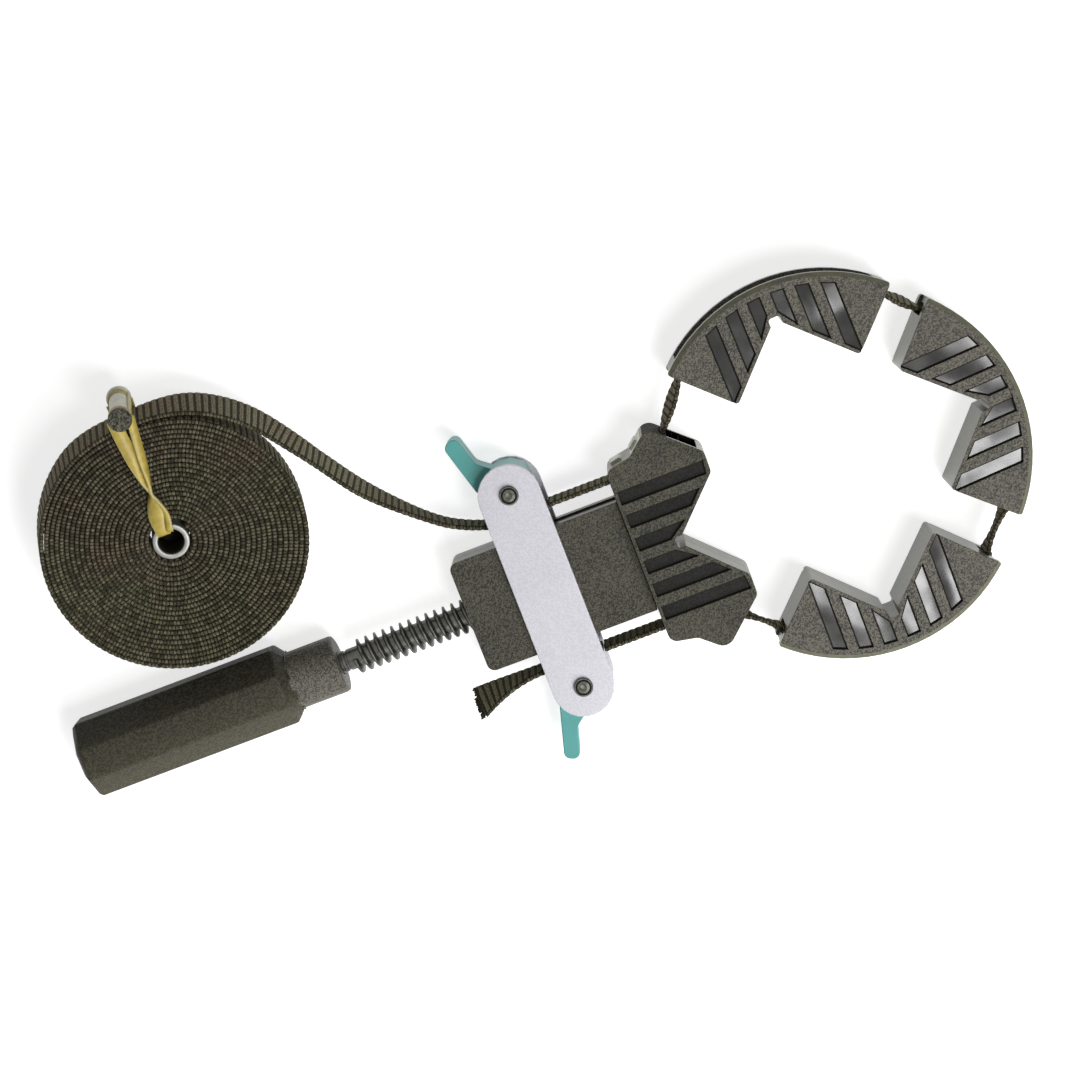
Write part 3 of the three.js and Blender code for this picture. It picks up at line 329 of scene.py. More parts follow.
def weave_group():
    """Webbing along U in rib pitches: grooves across its faces, loops along its edges, and fibres. The
    grooves, the edges and the borders of the edges are darkened as painted shade.
    """
    tree, start, end = new_group("Ribbed weave", [("Run", "NodeSocketVector", None)], ["Height", "Level"])
    step = tree.math
    run = tree.separated(start["Run"])
    along, round_it = run["X"], run["Y"]
    half_way = step("FRACT", step("MULTIPLY", round_it, 2.0))
    edge = step("GREATER_THAN", half_way, EDGE_START)

    # An edge has two loops to a rib, and painted shade along each side of it, where the coil's turns meet
    repeats = step("ADD", edge, 1.0)
    wave = step("COSINE", step("MULTIPLY", step("MULTIPLY", along, repeats), 2.0 * math.pi))
    wave = step("SUBTRACT", wave, step("MULTIPLY", edge, 0.4))
    fine = step("COSINE", step("MULTIPLY", along, 4.0 * math.pi))
    groove = step("MAXIMUM", tree.ranged(wave, -0.1, 0.6), tree.ranged(fine, 0.3, 1.0, 0.0, 0.4))
    beside = step("ABSOLUTE", step("SUBTRACT", half_way, EDGE_MIDDLE))
    painted_shade_between_turns = step("MULTIPLY", tree.ranged(beside, 0.07, 0.2, 0.0, 0.85), edge)

    # Each loop has a level of its own, and fibres run through them all
    cell = tree.add("ShaderNodeCombineXYZ", X=step("FLOOR", step("MULTIPLY", along, repeats)), Y=edge)
    loop = tree.nodes.new("ShaderNodeTexWhiteNoise")
    loop.noise_dimensions = "2D"
    tree.feed(loop.inputs["Vector"], cell.outputs[0])
    broken = tree.add("ShaderNodeMix", {
        0: edge, 2: tree.ranged(loop.outputs["Value"], 0.0, 1.0, 0.85, 1.15),
        3: tree.ranged(loop.outputs["Value"], 0.0, 1.0, 0.25, 1.15)})
    stretched = tree.nodes.new("ShaderNodeVectorMath")
    stretched.operation = "MULTIPLY"
    tree.feed(stretched.inputs[0], start["Run"])
    stretched.inputs[1].default_value = (6.5, 40.0, 1.0)
    fibres = tree.add("ShaderNodeTexNoise", Vector=stretched.outputs[0], Scale=1.0, Detail=3.0)
    fibre = tree.ranged(fibres.outputs["Fac"], 0.38, 0.62, 0.25, 1.25)

    # The grooves between the ribs are darkened: painted shade in the creases
    painted_groove_shade = step("SUBTRACT", 1.0, step("MULTIPLY", groove, 0.92))
    level = step("MULTIPLY", step("MULTIPLY", painted_groove_shade, fibre), broken.outputs[0])
    # Edges are painted darker than faces: painted shade, as where the coil's turns hide each other
    level = step("MULTIPLY", level, tree.ranged(edge, 0.0, 1.0, 1.5, 0.62))
    tree.feed(end["Level"], step("MULTIPLY", level, step("SUBTRACT", 1.0, painted_shade_between_turns)))
    tree.feed(end["Height"], step("SUBTRACT", step("MULTIPLY", fibre, 0.5), groove))
    return tree.tree


effects = {}
finishes = {}


class Finish(Tree):
    """A material being built: its shader, and helpers that place the shared effects in it."""

    def __init__(self, name, colour, roughness, metallic=0.0, gloss=0.5):
        self.material = bpy.data.materials.new(name)
        self.material.use_nodes = True
        super().__init__(self.material.node_tree)
        self.sockets = self.nodes["Principled BSDF"].inputs
        self.colour = tuple(colour)
        self.coordinates = self.nodes.new("ShaderNodeTexCoord").outputs
        self.set({"Base Color": (*colour, 1.0), "Roughness": roughness, "Metallic": metallic,
                  "Specular IOR Level": gloss})

    def set(self, values):
        for label, value in values.items():
            self.feed(self.sockets[label], value)

    def shade_of(self, level, shift=(1.0, 1.0, 1.0)):
        return (*(min(c * k * level, 1.0) for c, k in zip(self.colour, shift)), 1.0)

    def effect(self, name, value=None, source="Object"):
        """One of the shared groups, fed from the object's coordinates or from the piece's own UV map."""
        node = self.nodes.new("ShaderNodeGroup")
        node.node_tree = effects[name]
        self.feed(node.inputs[0], self.coordinates[source])
        if value is not None:
            node.inputs[1].default_value = value
        return node.outputs

    def tint(self, factor, dark, light):
        """The base colour runs from dark to light times the written colour as factor goes from 0 to 1."""
        mix = self.mixed(factor, self.shade_of(dark), self.shade_of(light))
        self.set({"Base Color": mix})
        return mix

    def bump(self, height, strength, distance):
        node = self.add("ShaderNodeBump", Strength=strength, Distance=distance, Height=height)
        self.set({"Normal": node.outputs["Normal"]})

    def flesh(self, weight, radius, scale):
        self.set({"Subsurface Weight": weight, "Subsurface Radius": radius, "Subsurface Scale": scale})


def mottled(label, name, colour, roughness, metallic=0.0, gloss=0.5, *, patch_scale, tint):
    """A smooth finish with soft patches; it gives back the patches and their colour too."""
    finish = finishes[label] = Finish(name, colour, roughness, metallic, gloss)
    patches = finish.effect("mottle", patch_scale)["Patches"]
    return finish, patches, finish.tint(patches, *tint)


def grained(label, name, colour, roughness, metallic=0.0, gloss=0.5, *, fineness, speckle_share, tint, bump,
            patch_scale=60.0):
    """A moulded finish with points of grain over soft patches."""
    finish = finishes[label] = Finish(name, colour, roughness, metallic, gloss)
    points = finish.effect("grain", fineness)
    patches = finish.effect("mottle", patch_scale)["Patches"]
    finish.tint(finish.blended(points["Speckle"], patches, speckle_share), *tint)
    finish.bump(points["Height"], *bump)


def grip_finish(colours):
    """Grain with painted shade: darker towards +Y, the side turned away from the softbox."""
    grip = finishes["grip"] = Finish("Grip moulding", colours.grip, 0.5, gloss=0.15)
    points = grip.effect("grain", 2200.0)
    # Painted shade: the base colour darkens towards +Y, where the facets turn from the softbox
    painted_side_shade = grip.ranged(grip.separated(grip.coordinates["Object"])["Y"], 0.011, -0.011)
    grip.tint(grip.blended(points["Speckle"], painted_side_shade, 0.4), 0.15, 1.85)
    grip.bump(points["Height"], 0.5, 0.00015)


def pocket_finish(colours):
    """A smooth floor whose slow waves catch the light in streaks."""
    pocket, patches, _ = mottled(
        "pocket", "Pocket floor", colours.pocket, 0.3, patch_scale=110.0, tint=(0.7, 1.5))
    waves = pocket.add("ShaderNodeTexNoise", Vector=pocket.coordinates["Object"], Scale=70.0, Detail=0.0)
    pocket.set({"Roughness": pocket.ranged(patches, 0.0, 1.0, 0.1, 0.24)})
    pocket.bump(waves.outputs["Fac"], 1.0, 0.0012)


def webbing_finish(colours):
    """The weave, whose yarn changes hue a little from place to place."""
    webbing = finishes["webbing"] = Finish("Webbing", colours.webbing, 0.85, gloss=0.15)
    threads = webbing.effect("weave", source="UV")
    hue = webbing.effect("mottle", 45.0)["Patches"]
    greener, redder = (webbing.shade_of(4.0, shift) for shift in ((0.96, 0.99, 1.06), (1.02, 0.84, 1.02)))
    yarn = webbing.mixed(hue, greener, redder)
    webbing.set({"Base Color": webbing.mixed(threads["Level"], webbing.shade_of(0.12), yarn)})
    webbing.bump(threads["Height"], 0.7, 0.0004)


def rubber_finish(colours):
    """Yellow rubber that is paler along its cut edges."""
    rubber, patches, tinted = mottled(
        "rubber", "Yellow rubber", colours.rubber, 0.38, patch_scale=350.0, tint=(0.8, 1.15))
    round_it = rubber.separated(rubber.coordinates["UV"])["Y"]
    half_way = rubber.math("FRACT", rubber.math("MULTIPLY", round_it, 2.0))
    aside = rubber.math("ABSOLUTE", rubber.math("SUBTRACT", half_way, FACE_MIDDLE))
    pale = rubber.mixed(rubber.ranged(aside, 0.24, 0.3, 0.0, 0.45), tinted, (0.62, 0.56, 0.30, 1.0))
    rubber.set({"Base Color": pale})
    rubber.flesh(0.4, (1.0, 0.8, 0.2), 0.001)
    rubber.bump(patches, 0.1, 0.0002)


def make_finishes(colours):
    """Every finish of the clamp, by the name of what it covers."""
    effects.update(grain=grain_group(), mottle=mottle_group(), weave=weave_group())

    grained("moulding", "Moulding", colours.moulding, 0.5, gloss=0.3, fineness=2700.0, speckle_share=0.8,
            tint=(0.05, 1.95), bump=(0.55, 0.0002))
    grained("jaw", "Jaw moulding", colours.jaw, 0.45, gloss=0.4, fineness=2700.0, speckle_share=0.8,
            tint=(0.05, 1.95), bump=(0.55, 0.00022))
    # Upright walls: a smoother finish, painted lighter as a painted reflection of the pale surround
    grained("side", "Moulding side", colours.side, 0.3, gloss=0.25, fineness=900.0, speckle_share=0.5,
            tint=(0.8, 1.2), bump=(0.2, 0.0002), patch_scale=130.0)
    grained("dull pocket", "Dull pocket floor", colours.pocket, 0.42, gloss=0.12, fineness=2100.0,
            speckle_share=0.6, tint=(0.15, 1.45), bump=(0.2, 0.0001), patch_scale=110.0)
    grained("plate", "Pale coated plate", colours.plate, 0.42, 0.15, fineness=2200.0, speckle_share=0.6,
            tint=(0.9, 1.07), bump=(0.15, 0.0001), patch_scale=40.0)
    grained("cap", "Toggle end", (0.072, 0.069, 0.048), 0.6, gloss=0.25, fineness=2000.0, speckle_share=1.0,
            tint=(0.15, 1.85), bump=(0.6, 0.0003))

    # Snap tabs painted pale: painted light, since they sit in the head's shadow
    mottled("tab", "Snap tab", (0.80, 0.80, 0.66), 0.3, patch_scale=300.0, tint=(0.7, 1.25))
    # Painted shade for the pockets' rims and walls, the head's slot and corners, the screws' grooves and the
    # tube's bore
    mottled("painted_shade", "Hollow", (0.014, 0.0135, 0.010), 0.7, gloss=0.15, patch_scale=400.0, tint=(0.5, 1.6))
    mottled("screw", "Screw steel", (0.085, 0.085, 0.072), 0.42, 0.6, patch_scale=700.0, tint=(0.6, 1.6))
    mottled("tube", "Satin tube", colours.tube, 0.35, 0.35, patch_scale=600.0, tint=(0.85, 1.15))
    mottled("cream", "Cream sleeve", (0.95, 0.93, 0.75), 0.5, patch_scale=300.0, tint=(0.85, 1.12))
    mottled("brass", "Pad brass", (0.62, 0.46, 0.2), 0.35, 0.9, patch_scale=200.0, tint=(0.8, 1.15))
    steel, patches, _ = mottled(
        "steel", "Blackened steel", (0.09, 0.089, 0.08), 0.34, 0.9, patch_scale=500.0, tint=(0.55, 1.5))
    steel.set({"Roughness": steel.ranged(patches, 0.0, 1.0, 0.25, 0.5)})
    lever, _, _ = mottled(
        "lever", "Turquoise moulding", colours.lever, 0.42, patch_scale=90.0, tint=(0.93, 1.07))
    lever.bump(lever.effect("grain", 1500.0)["Height"], 0.08, 0.0002)
    lever.flesh(0.25, (0.4, 1.0, 1.0), 0.0012)

    grip_finish(colours)
    pocket_finish(colours)
    webbing_finish(colours)
    rubber_finish(colours)


# Making pieces

def finish_piece(shape, name, body, materials, nodes=()):
    """A bmesh becomes a piece of the clamp that rides on its body and stands for the CAD nodes named."""
    mesh = bpy.data.meshes.new(name)
    shape.to_mesh(mesh)
    shape.free()
    shading = mesh.attributes.get("custom_normal")
    if shading:
        mesh.attributes.remove(shading)
    piece = bpy.data.objects.new(name, mesh)
    bpy.context.scene.collection.objects.link(piece)
    for label in materials:
        mesh.materials.append(finishes[label].material)
    if nodes:
        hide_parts(*nodes)
    if body:
        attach(piece, body)
    return piece


def shade(piece, degrees=40.0):
    """Smooth shading with sharp edges kept, and normals weighted by area so that flat faces stay flat."""
    piece.data.shade_smooth()
    piece.data.set_sharp_from_angle(angle=math.radians(degrees))
    weighted = piece.modifiers.new("Flat faces stay flat", "WEIGHTED_NORMAL")
    weighted.keep_sharp = True
    weighted.weight = 100


def clean_copy(node):
    """The shape of a CAD node with its triangles joined up into flat faces."""
    shape = bmesh.new()
    shape.from_mesh(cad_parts[node].data)
    bmesh.ops.remove_doubles(shape, verts=shape.verts, dist=SAME_POINT)
    bmesh.ops.dissolve_limit(
        shape, angle_limit=math.radians(FLAT_DEGREES), verts=shape.verts, edges=shape.edges)
    return shape


def close_up(shape):
    """Fills the open ends, and turns every face outwards."""
    bmesh.ops.holes_fill(shape, edges=[edge for edge in shape.edges if edge.is_boundary], sides=0)
    bmesh.ops.recalc_face_normals(shape, faces=shape.faces)


def round_edges(shape, width, degrees=28.0, segments=2, keep=None):
    """Rounds the edges that turn by more than an angle."""
    edges = [edge for edge in shape.edges if len(edge.link_faces) == 2
             and edge.calc_face_angle(0.0) > math.radians(degrees) and (keep is None or keep(edge))]
    bmesh.ops.bevel(shape, geom=edges, offset=width, offset_type="OFFSET", segments=segments, profile=0.5,
                    affect="EDGES", clamp_overlap=False, material=-1)


def moulded_copy(node, body, materials, width, segments=2, keep=None, shaped=None, degrees=28.0):
    """A CAD node with rounded edges; shaped may change its shape or its faces' materials first."""
    shape = clean_copy(node)
    if shaped:
        shaped(shape)
    round_edges(shape, width, degrees, segments, keep)
    piece = finish_piece(shape, f"{node}_dressed", body, materials, [node])
    shade(piece)
    return piece


def near(value, marks):
    return min(abs(value - mark) for mark in marks) < SAME_PLANE


def at_outer_face(edge):
    """Whether an edge borders the top or the bottom of a moulding."""
    return any(abs(face.normal.z) > 0.9 and near(face.calc_center_median().z, (0.0, TOP))
               for face in edge.link_faces)


def at_top_face(edge):
    return at_outer_face(edge) and max(vert.co.z for vert in edge.verts) > TOP / 2.0


def walls_painted_light_and_shade(shape):
    """The upright walls get the side finish, smoother and painted lighter as a painted reflection, and the
    small walls of the pockets get painted shade.
    """
    for face in shape.faces:
        if abs(face.normal.z) < 0.3:
            face.material_index = PAINTED_SHADE if near(face.calc_center_median().z, POCKET_WALLS) else SIDE_PAINTED_LIGHTER


def rimmed_pockets(shape):
    """The smooth floors of the recessed bands, each with a line of painted shade all round it."""
    floors = [face for face in shape.faces
              if abs(face.normal.z) > 0.99 and near(face.calc_center_median().z, POCKET_FLOORS)]
    rims = bmesh.ops.inset_individual(
        shape, faces=floors, thickness=POCKET_RIM, depth=0.0, use_even_offset=True)["faces"]
    # The inset rims carry painted shade
    for face in rims:
        face.material_index = PAINTED_SHADE
    for face in floors:
        face.material_index = FLOOR


def cut_faces(shape, faces, spot, normal):
    """Cuts some of the faces along a plane, and leaves the rest whole."""
    edges = {edge for face in faces for edge in face.edges}
    verts = {vert for face in faces for vert in face.verts}
    bmesh.ops.bisect_plane(shape, geom=[*faces, *edges, *verts], plane_co=spot, plane_no=normal, dist=0.00001)


def chamfered_back(shape, number, width):
    """Draws the rims of a jaw's curved back inwards, which leaves a chamfer at the top and the bottom. The
    chamfers take the side finish, painted lighter as a painted highlight.
    """
    centre = place(*JAWS[number][:2])
    radius = JAW_BACK_RADIUS * MM
    inner = radius - width
    near_back = radius - 2.0 * SAME_PLANE

    def away(spot):
        return math.hypot(spot.x - centre.x, spot.y - centre.y)

    for level in (width, TOP - width):
        back = [face for face in shape.faces
                if abs(face.normal.z) < 0.1 and min(away(vert.co) for vert in face.verts) > near_back]
        cut_faces(shape, back, UP * level, UP)
    for face in shape.faces:
        middle = face.calc_center_median()
        if abs(face.normal.z) < 0.1 and away(middle) > near_back and not width < middle.z < TOP - width:
            face.material_index = SIDE_PAINTED_LIGHTER
    for vert in shape.verts:
        if near(vert.co.z, (0.0, TOP)) and away(vert.co) > inner:
            flat = Vector((vert.co.x - centre.x, vert.co.y - centre.y, 0.0)).normalized() * inner
            vert.co = Vector((centre.x + flat.x, centre.y + flat.y, vert.co.z))


def open_slot(shape):
    """Sinks a long slot into the head's two slanted outer walls, next to the belt's ways out; the slot and
    the wall before it get painted shade.
    """
    low, high = HEAD_SLOT_HEIGHTS
    first, last = HEAD_SLOT_RUN
    for hand in (1, -1):
        outward = Vector((HEAD_WALL_FACING[0], HEAD_WALL_FACING[1] * hand, 0.0)).normalized()
        along = Vector((outward.y, -outward.x, 0.0)) * hand
        corner = Vector((HEAD_WALL_CORNER[0], HEAD_WALL_CORNER[1] * hand, 0.0))

        def on_wall(face):
            return face.normal.dot(outward) > 0.995 and abs(
                (face.calc_center_median() - corner).dot(outward)) < SAME_PLANE

        for spot, normal in ((corner + along * first, along), (corner + along * last, along), (UP * high, UP),
                             (UP * low, UP)):
            cut_faces(shape, [face for face in shape.faces if on_wall(face)], spot, normal)
        opening = []
        for face in shape.faces:
            middle = face.calc_center_median()
            run = (middle - corner).dot(along)
            if on_wall(face) and first < run < last and low < middle.z < high:
                opening.append(face)
            # The wall before the slot is painted dark: painted shade
            elif on_wall(face) and run < first:
                face.material_index = PAINTED_SHADE
        sunk = bmesh.ops.extrude_face_region(shape, geom=opening)["geom"]
        inner = [item for item in sunk if isinstance(item, bmesh.types.BMVert)]
        bmesh.ops.delete(shape, geom=opening, context="FACES")
        bmesh.ops.translate(shape, verts=inner, vec=-outward * HEAD_SLOT_DEPTH)
        # The sunk slot's faces get painted shade
        for face in {face for vert in inner for face in vert.link_faces}:
            face.material_index = PAINTED_SHADE


def finished_corner(shape):
    """The head's rounded corners beside the belt's ways out get painted shade, and the snap tabs are painted
    pale as painted light.
    """
    for face in shape.faces:
        x, y, z = face.calc_center_median()
        # The corner walls get painted shade
        if abs(face.normal.z) < 0.3 and HEAD_CORNER_X[0] < x < HEAD_CORNER_X[1] and abs(y) > HEAD_CORNER_Y:
            face.material_index = PAINTED_SHADE
        # The snap tabs are painted pale: painted light, as they sit in the head's shadow
        if TAB_X[0] < x < TAB_X[1] and abs(y) > TAB_Y and TAB_HEIGHTS[0] < z < TAB_HEIGHTS[1]:
            face.material_index = TAB


def turned(shape, profile, centre, axis, sides=48):
    """Spins a profile of (along, radius) pairs in millimetres about an axis, and gives the faces made."""
    axis = axis.normalized()
    aside = axis.orthogonal().normalized()
    verts = [shape.verts.new(centre + axis * (along * MM) + aside * (radius * MM))
             for along, radius in profile]
    edges = [shape.edges.new(pair) for pair in zip(verts, verts[1:])]
    before = set(shape.faces)
    bmesh.ops.spin(shape, geom=verts + edges, cent=centre, axis=axis, angle=2.0 * math.pi, steps=sides,
                   use_merge=True, use_normal_flip=False)
    made = [face for face in shape.faces if face not in before]
    bmesh.ops.remove_doubles(shape, verts=shape.verts, dist=0.000001)
    return [face for face in made if face.is_valid]


def turned_piece(shape, node, body, materials, degrees=50.0):
    """A turned shape becomes the piece that stands for a CAD node."""
    bmesh.ops.recalc_face_normals(shape, faces=shape.faces)
    shade(finish_piece(shape, f"{node}_turned", body, materials, [node]), degrees)


# Webbing

SECTION = [(-0.46, 1.0, 0.0), (-0.3, 1.0, 0.05), (0.3, 1.0, 0.25), (0.46, 1.0, 0.3), (0.5, 0.4, 0.37),
           (0.5, -0.4, 0.43), (0.46, -1.0, 0.5), (0.3, -1.0, 0.55), (-0.3, -1.0, 0.75), (-0.46, -1.0, 0.8),
           (-0.5, -0.4, 0.87), (-0.5, 0.4, 0.93)]
FLAT_SECTION = [(-0.47, 1.0, 0.0), (0.0, 1.0, 0.15), (0.47, 1.0, 0.3), (0.5, 0.0, 0.4), (0.47, -1.0, 0.5),
                (0.0, -1.0, 0.65), (-0.47, -1.0, 0.8), (-0.5, 0.0, 0.9)]
RIB_STEPS = 4
RIB_RISE = (0.0, 0.75, 1.0, 0.75)
LOOP_RISE = (0.0, 1.0, 0.15, 1.0)
PLAIN_STEP = 0.0006


def spaced(route, step):
    """Stations at even steps along a route of (point, across, thickness, width)."""
    runs = [0.0]
    for before, here in zip(route, route[1:]):
        runs.append(runs[-1] + (here[0] - before[0]).length)
    count = max(1, round(runs[-1] / step))
    out = []
    k = 0
    for i in range(count + 1):
        run = runs[-1] * i / count
        while k + 2 < len(runs) and runs[k + 1] < run:
            k += 1
        share = (run - runs[k]) / max(runs[k + 1] - runs[k], 1e-9)
        here, there = route[k], route[k + 1]
        thickness, width = (a + (b - a) * share for a, b in zip(here[2:], there[2:]))
        out.append((run, here[0].lerp(there[0], share), here[1].lerp(there[1], share), thickness, width))
    stations = []
    for i, (run, point, across, thickness, width) in enumerate(out):
        along = (out[min(i + 1, count)][1] - out[max(i - 1, 0)][1]).normalized()
        wide = (across - along * across.dot(along)).normalized()
        stations.append((run, point, wide * width, along.cross(wide).normalized() * thickness / 2.0))
    return stations


def strap(route, section=SECTION, ribbed=True, wound_from=None):
    """A flat strap along a route of (point, across, thickness, width), from a grid that is rolled round.

    Past the run wound_from it lies in a coil, where its middle is plain, so that the turns close up.
    """
    webbing = bpy.context.scene.clamp_webbing
    pitch = webbing.rib_pitch
    stations = spaced(route, pitch / RIB_STEPS if ribbed else PLAIN_STEP)
    rows, columns = len(stations), len(section)
    shape = bmesh.new()
    bmesh.ops.create_grid(shape, x_segments=rows - 1, y_segments=columns, size=1.0)
    layer = shape.loops.layers.uv.new("UVMap")
    where = {}
    for vert in shape.verts:
        where[vert] = (round((vert.co.x + 1.0) / 2.0 * (rows - 1)), round((vert.co.y + 1.0) / 2.0 * columns))
    for face in shape.faces:
        face.smooth = True
        for loop in face.loops:
            row, column = where[loop.vert]
            loop[layer].uv = (stations[row][0] / pitch, section[column][2] if column < columns else 1.0)
    for vert, (row, column) in where.items():
        run, point, wide, thick = stations[row]
        across, through, _ = section[column % columns]
        if ribbed:
            step = row % RIB_STEPS
            rise = RIB_RISE[step] if through > 0 else RIB_RISE[(row + RIB_STEPS // 2) % RIB_STEPS]
            depth = webbing.rib_share
            if wound_from is not None and run > wound_from:
                depth = 0.0 if abs(across) < 0.4 else webbing.rib_share * 0.5
            through *= 1.0 - depth * (1.0 - rise)
            across *= 1.0 - webbing.loop_share * (1.0 - LOOP_RISE[step])
        vert.co = point + wide * across + thick * through
    bmesh.ops.remove_doubles(shape, verts=shape.verts, dist=0.0000005)
    close_up(shape)
    return shape


def straight(start, end, steps=8):
    return [(start.lerp(end, k / steps), UP) for k in range(steps + 1)]


def through_points(points, steps=12):
    """A smooth line through points, with a tangent at each from its two neighbours."""
    out = []
    last = len(points) - 1
    for k in range(last):
        before, here = points[max(k - 1, 0)], points[k]
        there, after = points[k + 1], points[min(k + 2, last)]
        for i in range(steps):
            share = i / steps
            square, cube = share * share, share * share * share
            out.append(0.5 * (2.0 * here + (there - before) * share
                              + (2.0 * before - 5.0 * here + 4.0 * there - after) * square
                              + (3.0 * here - before - 3.0 * there + after) * cube))
    out.append(points[-1].copy())
    return out


def head_route(bend, lead_steps=10, arc_steps=20):
    """The belt's way through the head: a straight run, then an arc."""
    start = HEAD_LEFT + GAP + bend["start"]
    radius, hand = bend["radius"], bend["hand"]
    points = []
    if bend["start"]:
        points += [place(HEAD_LEFT + GAP + bend["start"] * k / lead_steps, BELT_OFFSET * hand)
                   for k in range(lead_steps)]
    for k in range(arc_steps + 1):
        angle = math.radians(bend["turn"]) * k / arc_steps
        points.append(place(start + radius * math.sin(angle),
                            (BELT_OFFSET + radius * (1.0 - math.cos(angle))) * hand))
    return [(point, UP) for point in points]


def jaw_point(number, angle):
    """A point of the belt round a jaw, at an angle counted from the jaw's middle."""
    x, y, heading = JAWS[number]
    turn = math.radians(heading - angle)
    return place(x + BELT_ARC_RADIUS * math.cos(turn), y + BELT_ARC_RADIUS * math.sin(turn))


def coil_matrix():
    """The coil's own frame: its tube along Z, leaning so that its far side is raised."""
    lean, heading = math.radians(COIL_LEAN), math.radians(COIL_LEAN_HEADING)
    axis = Vector((-math.sin(lean) * math.cos(heading), -math.sin(lean) * math.sin(heading), math.cos(lean)))
    reach = (COIL_INNER + COIL_TURNS * COIL_PITCH) * (1.0 + COIL_OVAL_SHARE) + COIL_LIFT
    height = reach * math.sin(lean) + COIL_HEIGHT / 2.0 * math.cos(lean) - HALF_JAW
    turn = UP.rotation_difference(axis).to_matrix().to_4x4()
    return Matrix.Translation(place(*COIL_CENTRE, height)) @ turn


def toggle_dent(wound):
    away = abs(math.remainder(wound + math.radians(COIL_EXIT - TOGGLE_ANGLE), 2.0 * math.pi))
    return math.cos(min(away / math.radians(TOGGLE_DENT_ANGLE), 1.0) * math.pi / 2.0) ** 2


def coil_swell(wound):
    """How the coil differs from a round one: it is slightly oval, and drawn in at the toggle."""
    offset = math.cos(wound + math.radians(COIL_EXIT + COIL_OVAL_ANGLE))
    return 1.0 + COIL_OVAL_SHARE * offset - TOGGLE_DENT_SHARE * toggle_dent(wound)


def coil_radius(wound):
    steady = COIL_INNER + COIL_TURNS * COIL_PITCH - COIL_PITCH * wound / (2.0 * math.pi)
    loose = max(0.0, 1.0 - wound / math.radians(COIL_LOOSENING_ANGLE))
    return steady * coil_swell(wound) + COIL_LOOSENING * loose ** 2


def coil_flare(wound):
    left = max(0.0, 1.0 - wound / math.radians(COIL_FLARE_ANGLE))
    return COIL_FLARE * left * (1.0 - FLARE_DENT_SHARE * toggle_dent(wound))


def coil_point(wound):
    """A point of the coil, at an angle wound inwards, and the slant of the webbing there."""
    matrix = coil_matrix()
    angle = math.radians(COIL_EXIT) + wound
    out = Vector((math.cos(angle), math.sin(angle), 0.0))
    flare = coil_flare(wound)
    point = out * (coil_radius(wound) + flare / 2.0) * MM
    across = (UP * COIL_HEIGHT - out * flare).normalized()
    return matrix @ point, matrix.to_3x3() @ across


def coil_route(webbing):
    """The whole coil from its way out inwards, each turn as thick as the room between its neighbours."""
    route = []
    for k in range(COIL_TURNS * STEPS_IN_TURN + 1):
        wound = 2.0 * math.pi * k / STEPS_IN_TURN
        room = COIL_PITCH * coil_swell(wound) * MM * webbing.coil_share
        thickness = webbing.thickness + (room - webbing.thickness) * smooth(wound, 0.0, CLOSED_BY)
        route.append((*coil_point(wound), thickness, webbing.width))
    return route


def strand_route(webbing):
    """The free strand from the crossbeam to the coil; it leans over and then takes the coil's own slant."""
    steps = 12
    (start, across), (following, _) = coil_point(0.0), coil_point(STRAND_AIM)
    points = [place(*point) for point in STRAND_ROUTE] + [start, following]
    line = through_points(points, steps)[:-steps]
    last = len(line) - 1
    out = []
    for k, point in enumerate(line):
        share = k / last
        tangent = (line[min(k + 1, last)] - line[max(k - 1, 0)]).normalized()
        lean = math.radians(STRAND_LEAN) * smooth(share, *STRAND_LEANS)
        upright = UP - tangent.cross(UP) * math.tan(lean)
        slant = upright.lerp(across, smooth(share, *STRAND_SLANTS)).normalized()
        out.append((point, slant, webbing.thickness, webbing.width))
    return out[:-1]


# Operators

class CLAMP_OT_finishes(bpy.types.Operator):
    """Make the finishes and the effects that they share"""
    bl_idname = "clamp.finishes"
    bl_label = "Make finishes"

    def execute(self, context):
        make_finishes(context.scene.clamp_colours)
        return {"FINISHED"}


class CLAMP_OT_mouldings(bpy.types.Operator):
    """Dress the jaws, the head and the body shells"""
    bl_idname = "clamp.mouldings"
    bl_label = "Mouldings"

    def execute(self, context):
        edges = context.scene.clamp_edges
        jaw_finish = ["jaw", "pocket", "painted_shade", "side"]
        finish = ["moulding", "dull pocket", "painted_shade", "side", "tab"]

        def jaw_shape(number):
            def change(shape):
                walls_painted_light_and_shade(shape)
                rimmed_pockets(shape)
                chamfered_back(shape, number, edges.arc)
            return change

        def head_shape(shape):
            walls_painted_light_and_shade(shape)
            rimmed_pockets(shape)
            open_slot(shape)
            finished_corner(shape)

        for number in JAWS:
            moulded_copy(f"jaw_{number}", f"jaw_{number}", jaw_finish, edges.moulding,
                         keep=at_top_face, shaped=jaw_shape(number), degrees=60.0)
        for side in ("upper", "lower"):
            moulded_copy(f"head_{side}", "head", finish, edges.moulding, keep=at_outer_face,
                         shaped=head_shape)
            moulded_copy(f"body_{side}", "housing", finish, edges.moulding, shaped=walls_painted_light_and_shade)
        return {"FINISHED"}


class CLAMP_OT_grip(bpy.types.Operator):
    """Dress the faceted grip"""
    bl_idname = "clamp.grip"
    bl_label = "Grip"

    def execute(self, context):
        # The collar takes the lighter jaw finish: painted light, lifting a curve that renders darker than the
        # flat tops
        def collar_painted_lighter(shape):
            for face in shape.faces:
                if face.calc_center_median().x > GRIP_COLLAR_X:
                    face.material_index = 1

        moulded_copy("grip", "spindle", ["grip", "jaw"], context.scene.clamp_edges.grip, segments=3,
                     degrees=35.0, shaped=collar_painted_lighter,
                     keep=lambda edge: max(vert.co.x for vert in edge.verts) > GRIP_DOME_X)
        return {"FINISHED"}


